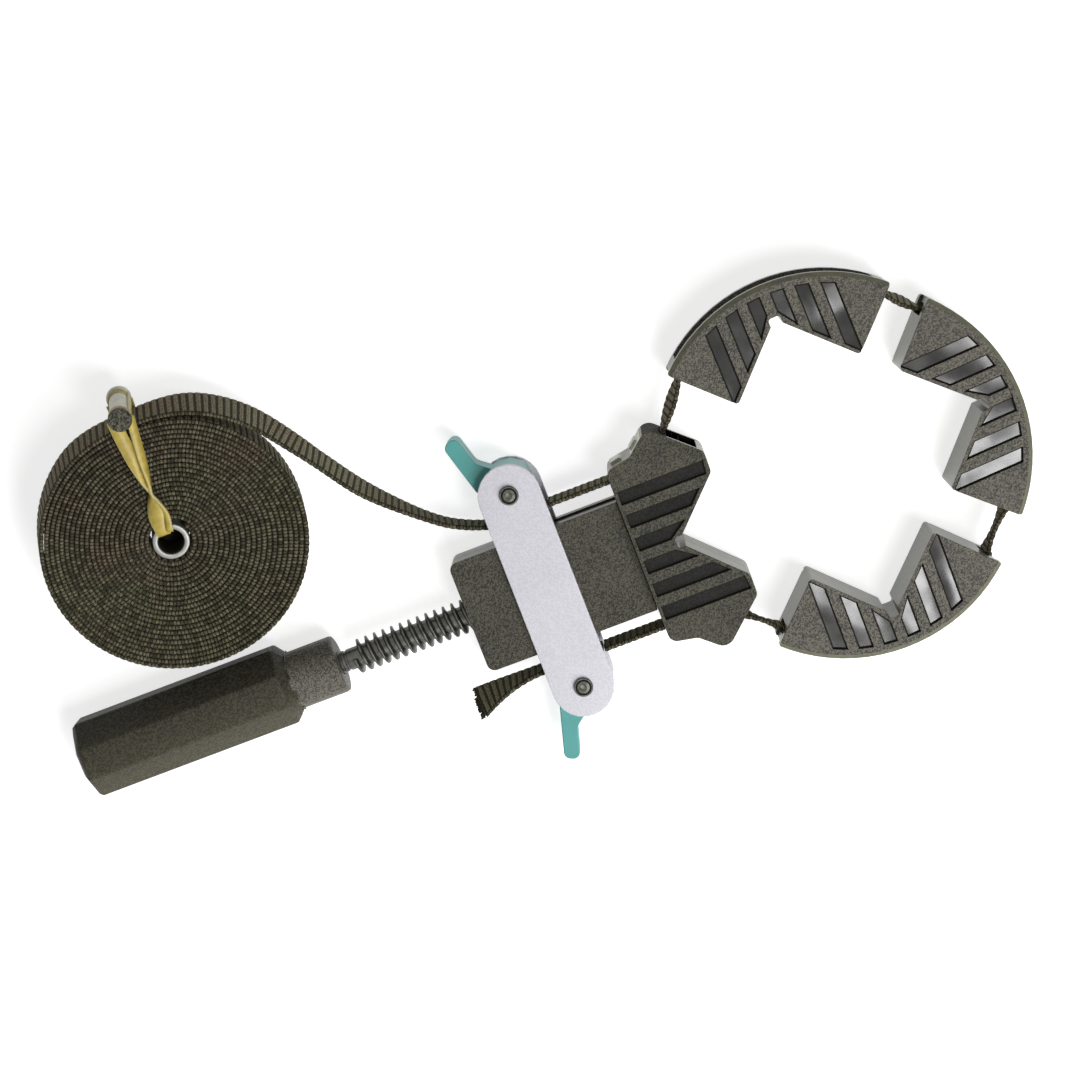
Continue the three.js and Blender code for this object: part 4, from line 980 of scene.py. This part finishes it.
class CLAMP_OT_levers(bpy.types.Operator):
    """Dress the two cam levers"""
    bl_idname = "clamp.levers"
    bl_label = "Levers"

    def execute(self, context):
        width = context.scene.clamp_edges.lever
        for side in ("upper", "lower"):
            moulded_copy(f"lever_{side}", f"lever_{side}", ["lever"], width, segments=3)
        return {"FINISHED"}


class CLAMP_OT_plates(bpy.types.Operator):
    """Dress the crossbeam's two plates"""
    bl_idname = "clamp.plates"
    bl_label = "Plates"

    def execute(self, context):
        width = context.scene.clamp_edges.plate
        for side in ("top", "bottom"):
            moulded_copy(f"plate_{side}", "housing", ["plate"], width)
        return {"FINISHED"}


# The spindle as (along, radius), from the rings on its neck to its end flange
SPINDLE_PROFILE = [(-45.0, 3.5), (-44.8, 3.2), (-44.2, 3.2), (-44.0, 3.55), (-43.2, 3.55), (-43.0, 3.2),
                   (-42.4, 3.2), (-42.2, 3.55), (-41.4, 3.55), (61.3, 3.5), (61.6, 3.4), (62.0, 3.4),
                   (62.0, 5.0), (62.2, 5.2), (64.3, 5.2), (64.5, 5.0), (64.5, 0.0)]
THREAD_RIDGE = [(-1.0, 3.35), (-0.62, 4.1), (-0.45, 5.25), (-0.28, 5.55), (0.0, 5.6), (0.28, 5.55),
                (0.45, 5.25), (0.62, 4.1), (1.0, 3.35)]
NECK_START = [(0.0, 0.0), (0.0, 3.3), (0.3, 3.5)]
THREAD_START = -39.8
THREAD_TURNS = 25.3


class CLAMP_OT_spindle(bpy.types.Operator):
    """Turn the spindle, with its coarse thread, its neck and its end flange"""
    bl_idname = "clamp.spindle"
    bl_label = "Spindle"

    def execute(self, context):
        shape = bmesh.new()
        axis = Vector((1.0, 0.0, 0.0))
        centre = place(0.0, 0.0)
        start = (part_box("spindle")[0][0] - centre.x) / MM
        neck = [(start + along, radius) for along, radius in NECK_START]
        turned(shape, neck + SPINDLE_PROFILE, centre, axis)

        steps = 32
        verts = [shape.verts.new(place(THREAD_START + x, 0.0, r)) for x, r in THREAD_RIDGE]
        edges = [shape.edges.new(pair) for pair in zip(verts, verts[1:] + verts[:1])]
        bmesh.ops.spin(shape, geom=verts + edges, cent=centre, axis=axis, use_merge=False,
                       dvec=axis * THREAD_PITCH * MM / steps, angle=2.0 * math.pi * THREAD_TURNS,
                       steps=round(THREAD_TURNS * steps))
        close_up(shape)
        turned_piece(shape, "spindle", "spindle", ["steel"])
        return {"FINISHED"}


# A screw and its head, as (millimetres above its top, share of its radius), and the groove in it, which gets
# painted shade
SCREW_RINGS = [(-13.0, 0.0), (-13.0, 0.5), (-1.0, 0.5), (-1.0, 1.0), (-0.4, 1.0), (-0.1, 0.93), (-0.1, 0.84),
               (-0.5, 0.78), (-0.5, 0.70), (-0.1, 0.64), (0.0, 0.38), (-0.3, 0.24), (-0.3, 0.0)]
SCREW_GROOVE = (0.66, 0.83)
SCREW_GROOVE_DEPTH = 0.8


class CLAMP_OT_screws(bpy.types.Operator):
    """Turn the pivot screws' heads, with a ring and a dimple in each"""
    bl_idname = "clamp.screws"
    bl_label = "Screws"

    def execute(self, context):
        for side in ("upper", "lower"):
            low, high = (Vector(corner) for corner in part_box(f"pivot_screw_{side}"))
            middle = (low + high) / 2.0
            radius = (high.x - low.x) / 2.0
            shape = bmesh.new()
            turned(shape, [(drop, share * radius / MM) for drop, share in SCREW_RINGS],
                   Vector((middle.x, middle.y, high.z)), UP, 40)
            # The ring's groove gets painted shade
            for face in shape.faces:
                spot = face.calc_center_median()
                away = math.hypot(spot.x - middle.x, spot.y - middle.y) / radius
                if SCREW_GROOVE[0] < away < SCREW_GROOVE[1] and spot.z > high.z - SCREW_GROOVE_DEPTH * MM:
                    face.material_index = 1
            turned_piece(shape, f"pivot_screw_{side}", "housing", ["screw", "painted_shade"], 40.0)
        return {"FINISHED"}


class CLAMP_OT_kept_nodes(bpy.types.Operator):
    """Give the CAD pieces that stay as they are their finishes"""
    bl_idname = "clamp.kept_nodes"
    bl_label = "Kept pieces"

    def execute(self, context):
        for node, label in (("cross_bar", "steel"), ("pivot_barrel_upper", "screw"),
                            ("pivot_barrel_lower", "screw"), ("thrust_pad", "brass")):
            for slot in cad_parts[node].material_slots:
                slot.material = finishes[label].material
        return {"FINISHED"}


ARC_STEPS = 40
SPAN_STEPS = 8
SPAN_SWAY_SHARE = 0.13


class CLAMP_OT_belt_lengths(bpy.types.Operator):
    """Weave the belt's lengths beside the body, in the head, between the jaws and round them"""
    bl_idname = "clamp.belt_lengths"
    bl_label = "Belt lengths"

    def execute(self, context):
        webbing = context.scene.clamp_webbing
        width, thickness = webbing.width, webbing.thickness

        def woven(name, route, body, thick=thickness):
            stations = [(*mark, thick, width) for mark in route]
            return finish_piece(strap(stations), f"{name}_woven", body, ["webbing"], [name])

        ends = {}
        for side, bend in (("upper", UPPER_BEND), ("lower", LOWER_BEND)):
            hand = bend["hand"]
            route = head_route(bend)
            woven(f"belt_in_head_{side}", route, "head", IN_CHANNEL_THICKNESS * MM)
            ends[side] = route[-1][0]
            start, end = place(CROSSBEAM[1] + GAP, BELT_OFFSET * hand), place(HEAD_LEFT, BELT_OFFSET * hand)
            piece = woven(f"belt_run_{side}", straight(start, end), None)
            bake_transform(piece)
        bodies = {1: "belt_1", 2: "belt_2", 3: "belt_3"}
        for number in JAWS:
            route = [(jaw_point(number, JAW_HALF_ANGLE * (2.0 * k / ARC_STEPS - 1.0)), UP)
                     for k in range(ARC_STEPS + 1)]
            woven(f"belt_arc_{number}", route, bodies[number], IN_CHANNEL_THICKNESS * MM)
        spans = [
            (1, ends["upper"], jaw_point(1, -JAW_HALF_ANGLE), "belt_1", False, 0.397),
            (2, jaw_point(1, JAW_HALF_ANGLE), jaw_point(2, -JAW_HALF_ANGLE), "belt_1", True, 0.354),
            (3, jaw_point(2, JAW_HALF_ANGLE), jaw_point(3, -JAW_HALF_ANGLE), "belt_3", False, 0.354),
            (4, jaw_point(3, JAW_HALF_ANGLE), ends["lower"], "belt_3", True, 0.450),
        ]
        for number, start, end, body, from_start, keep in spans:
            along = (end - start).normalized()
            line = straight(start + along * GAP * MM, end - along * GAP * MM, SPAN_STEPS)
            route = [(point, across + along.cross(UP) * SPAN_SWAY_SHARE * math.sin(math.pi * k / SPAN_STEPS))
                     for k, (point, across) in enumerate(line)]
            piece = woven(f"belt_span_{number}", route, body)
            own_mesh(piece)
        return {"FINISHED"}


TAIL_STEPS = (10, 24)
TAIL_REACH = 7.5
TAIL_DROP = 3.2
TAIL_TWIST = 35.0
TUFTS = 30
TUFT_LENGTHS = (0.9, 2.4)
TUFT_RADII = (0.62, 0.3)
TUFT_SPREAD = 0.94
TUFT_SCATTER = 0.9
TUFT_LEANS = (0.7, 0.8)
TUFT_OUT_SHARE = 0.2


def scattered(k, step, size):
    """A number from 0 to 1 that looks random and is the same each time."""
    return math.sin(k * step) * size % 1.0


def frayed(shape, tip, along, across, width):
    """Tufts of thread across the cut end of the belt."""
    shortest, longest = TUFT_LENGTHS
    thick = along.cross(across)
    for k in range(TUFTS):
        share = (k + 0.5) / TUFTS - 0.5
        wobble = scattered(k, 12.9898, 43758.5453)
        other = scattered(k, 78.233, 12543.123)
        length = (shortest + (longest - shortest) * wobble) * MM
        lean = along + across * (other - 0.5) * TUFT_LEANS[0] + thick * (wobble - 0.5) * TUFT_LEANS[1]
        lean.normalize()
        made = bmesh.ops.create_cone(shape, cap_ends=True, segments=6, radius1=TUFT_RADII[0] * MM,
                                     radius2=TUFT_RADII[1] * MM, depth=length)["verts"]
        turn = UP.rotation_difference(lean).to_matrix().to_4x4()
        aside = across * share * width * TUFT_SPREAD
        spot = tip + aside + lean * length * TUFT_OUT_SHARE + thick * (other - 0.5) * TUFT_SCATTER * MM
        bmesh.ops.transform(shape, matrix=Matrix.Translation(spot) @ turn, verts=made)


class CLAMP_OT_belt_tail(bpy.types.Operator):
    """Weave the belt's cut end, which turns over and frays"""
    bl_idname = "clamp.belt_tail"
    bl_label = "Belt tail"

    def execute(self, context):
        webbing = context.scene.clamp_webbing
        left, right = CROSSBEAM
        held, free = TAIL_STEPS
        route = [(place(right - GAP + (left - right) * k / held, -BELT_OFFSET), UP) for k in range(held)]
        for k in range(free + 1):
            share = k / free
            twist = math.radians(TAIL_TWIST) * share ** 2
            route.append((place(left - (left + TAIL_REACH) * share, -BELT_OFFSET - TAIL_DROP * share ** 2),
                          Vector((0.0, -math.sin(twist), math.cos(twist)))))
        shape = strap([(*mark, webbing.thickness, webbing.width) for mark in route])
        tip, across = route[-1]
        frayed(shape, tip, (tip - route[-3][0]).normalized(), across, webbing.width)
        finish_piece(shape, "belt_tail_woven", "housing", ["webbing"], ["belt_tail"])
        return {"FINISHED"}


def route_length(route):
    return sum((here[0] - before[0]).length for before, here in zip(route, route[1:]))


class CLAMP_OT_strand_and_coil(bpy.types.Operator):
    """Weave the free strand from the crossbeam, and wind the spare belt round its tube"""
    bl_idname = "clamp.strand_and_coil"
    bl_label = "Free strand and coil"

    def execute(self, context):
        webbing = context.scene.clamp_webbing
        held = straight(place(CROSSBEAM[1] - GAP, BELT_OFFSET), place(CROSSBEAM[0] + GAP, BELT_OFFSET))
        lead = [(*mark, webbing.thickness, webbing.width) for mark in held] + strand_route(webbing)
        coil = coil_route(webbing)
        shape = strap(lead + coil, wound_from=route_length(lead) + route_length(coil[:STEPS_IN_TURN + 1]))
        finish_piece(shape, "belt_wound_woven", "housing", ["webbing"],
                     ["belt_strand", "belt_coil"])
        return {"FINISHED"}


def fastening_matrix():
    """A frame on the coil whose +Y points from the tube to the toggle."""
    turn = Matrix.Rotation(math.radians(TOGGLE_ANGLE - 90.0), 4, "Z")
    return coil_matrix() @ turn


def toggle_reach():
    wound = math.radians(TOGGLE_ANGLE - COIL_EXIT)
    return coil_radius(wound) + coil_flare(wound) + TOGGLE_OUT


class CLAMP_OT_tube(bpy.types.Operator):
    """Turn the tube in the middle of the coil, with a dark disc and lining in its bore as painted shade"""
    bl_idname = "clamp.tube"
    bl_label = "Coil tube"

    def execute(self, context):
        shape = bmesh.new()
        matrix = coil_matrix()
        axis = matrix.to_3x3() @ UP
        half, outer, bore, lip = TUBE_HALF, TUBE_RADIUS, TUBE_BORE, TUBE_LIP
        profile = [(-half + lip, bore), (-half, bore + lip), (-half, outer - lip), (-half + lip, outer),
                   (half - lip, outer), (half, outer - lip), (half, bore + lip), (half - lip, bore),
                   (-half + lip, bore)]
        turned(shape, profile, matrix.translation, axis)
        # A dark disc and lining inside the bore: painted shade, where the bore would show the pale floor
        low, high = -half + SHADE_DISC_DEPTH, half - 2.0 * lip
        outside, inside = bore - SHADE_LINING_GAP, bore - SHADE_LINING_GAP - SHADE_LINING_THICKNESS
        shade_disc = [(low, 0.0), (low, outside), (high, outside), (high, inside), (low + SHADE_DISC_THICKNESS, inside),
               (low + SHADE_DISC_THICKNESS, 0.0)]
        for face in turned(shape, shade_disc, matrix.translation, axis):
            face.material_index = 1
        turned_piece(shape, "coil_tube", "housing", ["tube", "painted_shade"])
        return {"FINISHED"}


TOGGLE_PROFILE = [(-12.5, 0.0), (-12.5, 3.6), (-12.1, 4.0), (-10.5, 4.0), (-10.2, 3.7), (-10.0, 3.3),
                  (-9.6, 3.2), (9.6, 3.2), (10.0, 3.3), (10.2, 3.6), (10.6, 3.75), (12.1, 3.75), (12.5, 3.5),
                  (12.5, 0.0)]
TOGGLE_CAP_FROM = 10.4


class CLAMP_OT_toggle(bpy.types.Operator):
    """Turn the toggle that the rubber band hooks over"""
    bl_idname = "clamp.toggle"
    bl_label = "Toggle"

    def execute(self, context):
        shape = bmesh.new()
        matrix = fastening_matrix()
        axis = matrix.to_3x3() @ UP
        centre = matrix @ Vector((0.0, toggle_reach() * MM, 0.0))
        for face in turned(shape, TOGGLE_PROFILE, centre, axis):
            if (face.calc_center_median() - centre).dot(axis) > TOGGLE_CAP_FROM * MM:
                face.material_index = 1
        turned_piece(shape, "toggle", "housing", ["cream", "cap"])
        return {"FINISHED"}


# The rubber band's legs over a face of the coil: aside, out from the tube, lift, width and turn
BROAD_LEG = [(-0.9, 2.6, -7.5, 3.6, 0.0), (-0.9, 2.9, -2.0, 3.8, 0.0), (-1.0, 4.4, 0.2, 4.8, 0.0),
             (-0.6, 10.0, 0.5, 6.4, 8.0), (-0.1, 15.0, 0.9, 4.6, 30.0), (0.0, 18.2, 1.3, 2.4, 75.0),
             (-0.3, 22.0, 1.1, 3.6, 130.0), (-0.9, 28.0, 0.8, 4.8, 165.0), (-1.9, 35.0, 0.6, 4.6, 175.0),
             (-2.4, 41.0, 0.5, 4.4, 180.0)]
NARROW_LEG = [(0.9, 3.1, -7.5, 2.0, 20.0), (0.9, 3.4, -2.0, 2.0, 20.0), (1.2, 5.0, 0.9, 2.4, 25.0),
              (2.0, 10.0, 1.2, 2.2, 35.0), (1.0, 15.0, 1.5, 2.0, 50.0), (0.3, 18.2, 1.9, 1.8, 90.0),
              (0.9, 22.0, 1.6, 2.4, 110.0), (1.5, 28.0, 1.2, 3.0, 140.0), (2.3, 35.0, 1.0, 3.0, 150.0),
              (3.0, 41.0, 0.9, 2.8, 155.0)]

# The band's hoops round the toggle, from and to along it, and the strip beside the toggle that joins them
HOOPS = ((-9.6, -8.5), (-8.2, -7.4), (8.1, 8.8), (9.0, 10.1))
LEG_STEPS = 8
LEG_THICKNESS = 0.9
LEG_LIFT = 0.75
LEG_END_GAP = 0.5
BEND_OUT = 20.0
STRIP_PLACE = (3.45, 0.3)
STRIP_STEP = 3.0
STRIP_THICKNESS = 0.7
STRIP_WIDTH = 2.2


def leg_route(leg, side, reach, matrix):
    """A leg over one face of the coil, drawn out from its bend so that it ends at the toggle."""
    stretch = (reach - BEND_OUT - LEG_END_GAP) / (leg[-1][1] - BEND_OUT)
    spots, sizes = [], []
    for aside, out, lift, width, angle in leg:
        drawn = out if out < BEND_OUT else BEND_OUT + (out - BEND_OUT) * stretch
        spots.append(Vector((aside, drawn, side * (TUBE_HALF + LEG_LIFT + lift))) * MM)
        sizes.append(Vector((width, math.radians(angle), 0.0)))
    route = []
    for point, size in zip(through_points(spots, LEG_STEPS), through_points(sizes, LEG_STEPS)):
        across = Vector((math.cos(size.y), 0.0, math.sin(size.y) * side))
        route.append((matrix @ point, matrix.to_3x3() @ across, LEG_THICKNESS * MM, size.x * MM))
    return route


class CLAMP_OT_rubber_band(bpy.types.Operator):
    """Stretch the rubber band from the tube over the coil's faces to the toggle"""
    bl_idname = "clamp.rubber_band"
    bl_label = "Rubber band"

    def execute(self, context):
        matrix = fastening_matrix()
        turn = matrix.to_3x3()
        reach = toggle_reach()
        shape = bmesh.new()
        shape.loops.layers.uv.new("UVMap")
        routes = [leg_route(leg, side, reach, matrix) for side in (1, -1) for leg in (BROAD_LEG, NARROW_LEG)]
        strip = [Vector((STRIP_PLACE[0], reach + STRIP_PLACE[1], STRIP_STEP * k)) * MM for k in range(-3, 4)]
        across = turn @ Vector((0.0, 1.0, 0.0))
        routes.append([(matrix @ spot, across, STRIP_THICKNESS * MM, STRIP_WIDTH * MM) for spot in strip])
        for route in routes:
            leg = strap(route, section=FLAT_SECTION, ribbed=False)
            mesh = bpy.data.meshes.new("band_leg")
            leg.to_mesh(mesh)
            leg.free()
            shape.from_mesh(mesh)
            bpy.data.meshes.remove(mesh)
        for low, high in HOOPS:
            profile = [(low, 3.1), (low + 0.1, 3.5), (low + 0.3, 3.7), (high - 0.3, 3.7), (high - 0.1, 3.5),
                       (high, 3.1), (low, 3.1)]
            turned(shape, profile, matrix @ Vector((0.0, reach * MM, 0.0)), turn @ UP, 40)
        bmesh.ops.recalc_face_normals(shape, faces=shape.faces)
        for item in shape.faces:
            item.smooth = True
        finish_piece(shape, "rubber_band_stretched", "housing", ["rubber"], ["rubber_band"])
        return {"FINISHED"}


# The stage

EYE = (30.2928, 140.3527, 901.463)
AIM = (-36.2565, 17.6229, 12.7)
CAMERA_TURN = 20.9
FLOOR_HALF = 3.0
FLOOR_GLOW = 0.72


def add_object(name, data):
    thing = bpy.data.objects.new(name, data)
    bpy.context.scene.collection.objects.link(thing)
    return thing


def add_camera(lens):
    """The camera looks down at the clamp, turned so that the spindle rises to the right."""
    data = bpy.data.cameras.new("Camera")
    data.lens = lens
    data.sensor_width = 36.0
    data.clip_end = 20.0
    eye = Vector(EYE) * MM
    back = (eye - Vector(AIM) * MM).normalized()
    turn = math.radians(CAMERA_TURN)
    right = Vector((math.cos(turn), -math.sin(turn), 0.0))
    right = (right - back * right.dot(back)).normalized()
    axes = Matrix((right, back.cross(right), back)).transposed()
    camera = add_object("Camera", data)
    camera.matrix_world = Matrix.Translation(eye) @ axes.to_4x4()
    bpy.context.scene.camera = camera


def add_floor():
    """A plain pale floor that keeps the clamp's shadow and is white to the camera."""
    shape = bmesh.new()
    bmesh.ops.create_grid(shape, x_segments=1, y_segments=1, size=FLOOR_HALF)
    mesh = bpy.data.meshes.new("floor")
    shape.to_mesh(mesh)
    shape.free()
    floor = add_object("floor", mesh)
    pale = Finish("Pale floor", (0.9, 0.9, 0.9), 0.9, gloss=0.0)
    pale.tint(pale.effect("mottle", 30.0)["Patches"], 0.995, 1.005)
    pale.set({"Emission Color": (1.0, 1.0, 1.0, 1.0),
              "Emission Strength": pale.math("MULTIPLY", pale.seen(), FLOOR_GLOW)})
    mesh.materials.append(pale.material)


def add_surround(strength):
    """A white surround that lights the clamp only a little."""
    world = bpy.data.worlds.new("Surround")
    bpy.context.scene.world = world
    world.use_nodes = True
    tree = Tree(world.node_tree)
    background = tree.nodes["Background"].inputs
    tree.feed(background["Color"], (1.0, 1.0, 1.0, 1.0))
    tree.feed(background["Strength"], tree.ranged(tree.seen(), 0.0, 1.0, strength, 1.0))


def add_lamp(name, spot, target, size, power):
    data = bpy.data.lights.new(name, "AREA")
    data.shape = "DISK"
    data.size = size
    data.energy = power
    lamp = add_object(name, data)
    lamp.location = spot
    lamp.rotation_euler = (Vector(target) - Vector(spot)).to_track_quat("-Z", "Y").to_euler()


class CLAMP_OT_stage(bpy.types.Operator):
    """Set the camera, the pale floor, the surround and the soft lamps"""
    bl_idname = "clamp.stage"
    bl_label = "Stage"

    def execute(self, context):
        stage = context.scene.clamp_stage
        context.scene.view_settings.view_transform = "Standard"
        add_camera(stage.lens)
        add_floor()
        add_surround(stage.sky)
        add_lamp("Softbox", (0.25, -0.62, 0.72), (0.0, 0.0, 0.0), 0.8, stage.softbox)
        add_lamp("Glint", (0.19, -0.23, 1.0), (0.08, -0.03, 0.0), 0.22, stage.glint)
        return {"FINISHED"}


OPERATORS = (
    CLAMP_OT_finishes, CLAMP_OT_mouldings, CLAMP_OT_grip, CLAMP_OT_levers, CLAMP_OT_plates, CLAMP_OT_spindle,
    CLAMP_OT_screws, CLAMP_OT_kept_nodes, CLAMP_OT_belt_lengths, CLAMP_OT_belt_tail,
    CLAMP_OT_strand_and_coil, CLAMP_OT_tube, CLAMP_OT_toggle, CLAMP_OT_rubber_band, CLAMP_OT_stage,
)
SETTINGS = (
    ("clamp_webbing", ClampWebbing), ("clamp_edges", ClampEdges), ("clamp_colours", ClampColours),
    ("clamp_stage", ClampStage),
)


class CLAMP_PT_sidebar(bpy.types.Panel):
    """Sizes, colours and steps of the band clamp"""
    bl_idname = "CLAMP_PT_sidebar"
    bl_label = "Band Clamp"
    bl_space_type = "VIEW_3D"
    bl_region_type = "UI"
    bl_category = "Band Clamp"

    def draw(self, context):
        for name, group in SETTINGS:
            settings = getattr(context.scene, name)
            for label in group.__annotations__:
                self.layout.prop(settings, label)
        for operator in OPERATORS:
            self.layout.operator(operator.bl_idname)


def register():
    for name, group in SETTINGS:
        bpy.utils.register_class(group)
        setattr(bpy.types.Scene, name, bpy.props.PointerProperty(type=group))
    for item in OPERATORS + (CLAMP_PT_sidebar,):
        bpy.utils.register_class(item)


def unregister():
    for item in reversed(OPERATORS + (CLAMP_PT_sidebar,)):
        bpy.utils.unregister_class(item)
    for name, group in reversed(SETTINGS):
        delattr(bpy.types.Scene, name)
        bpy.utils.unregister_class(group)


def main():
    register()
    for operator in OPERATORS:
        getattr(bpy.ops.clamp, operator.bl_idname.split(".")[1])()


if __name__ == "__main__":
    main()
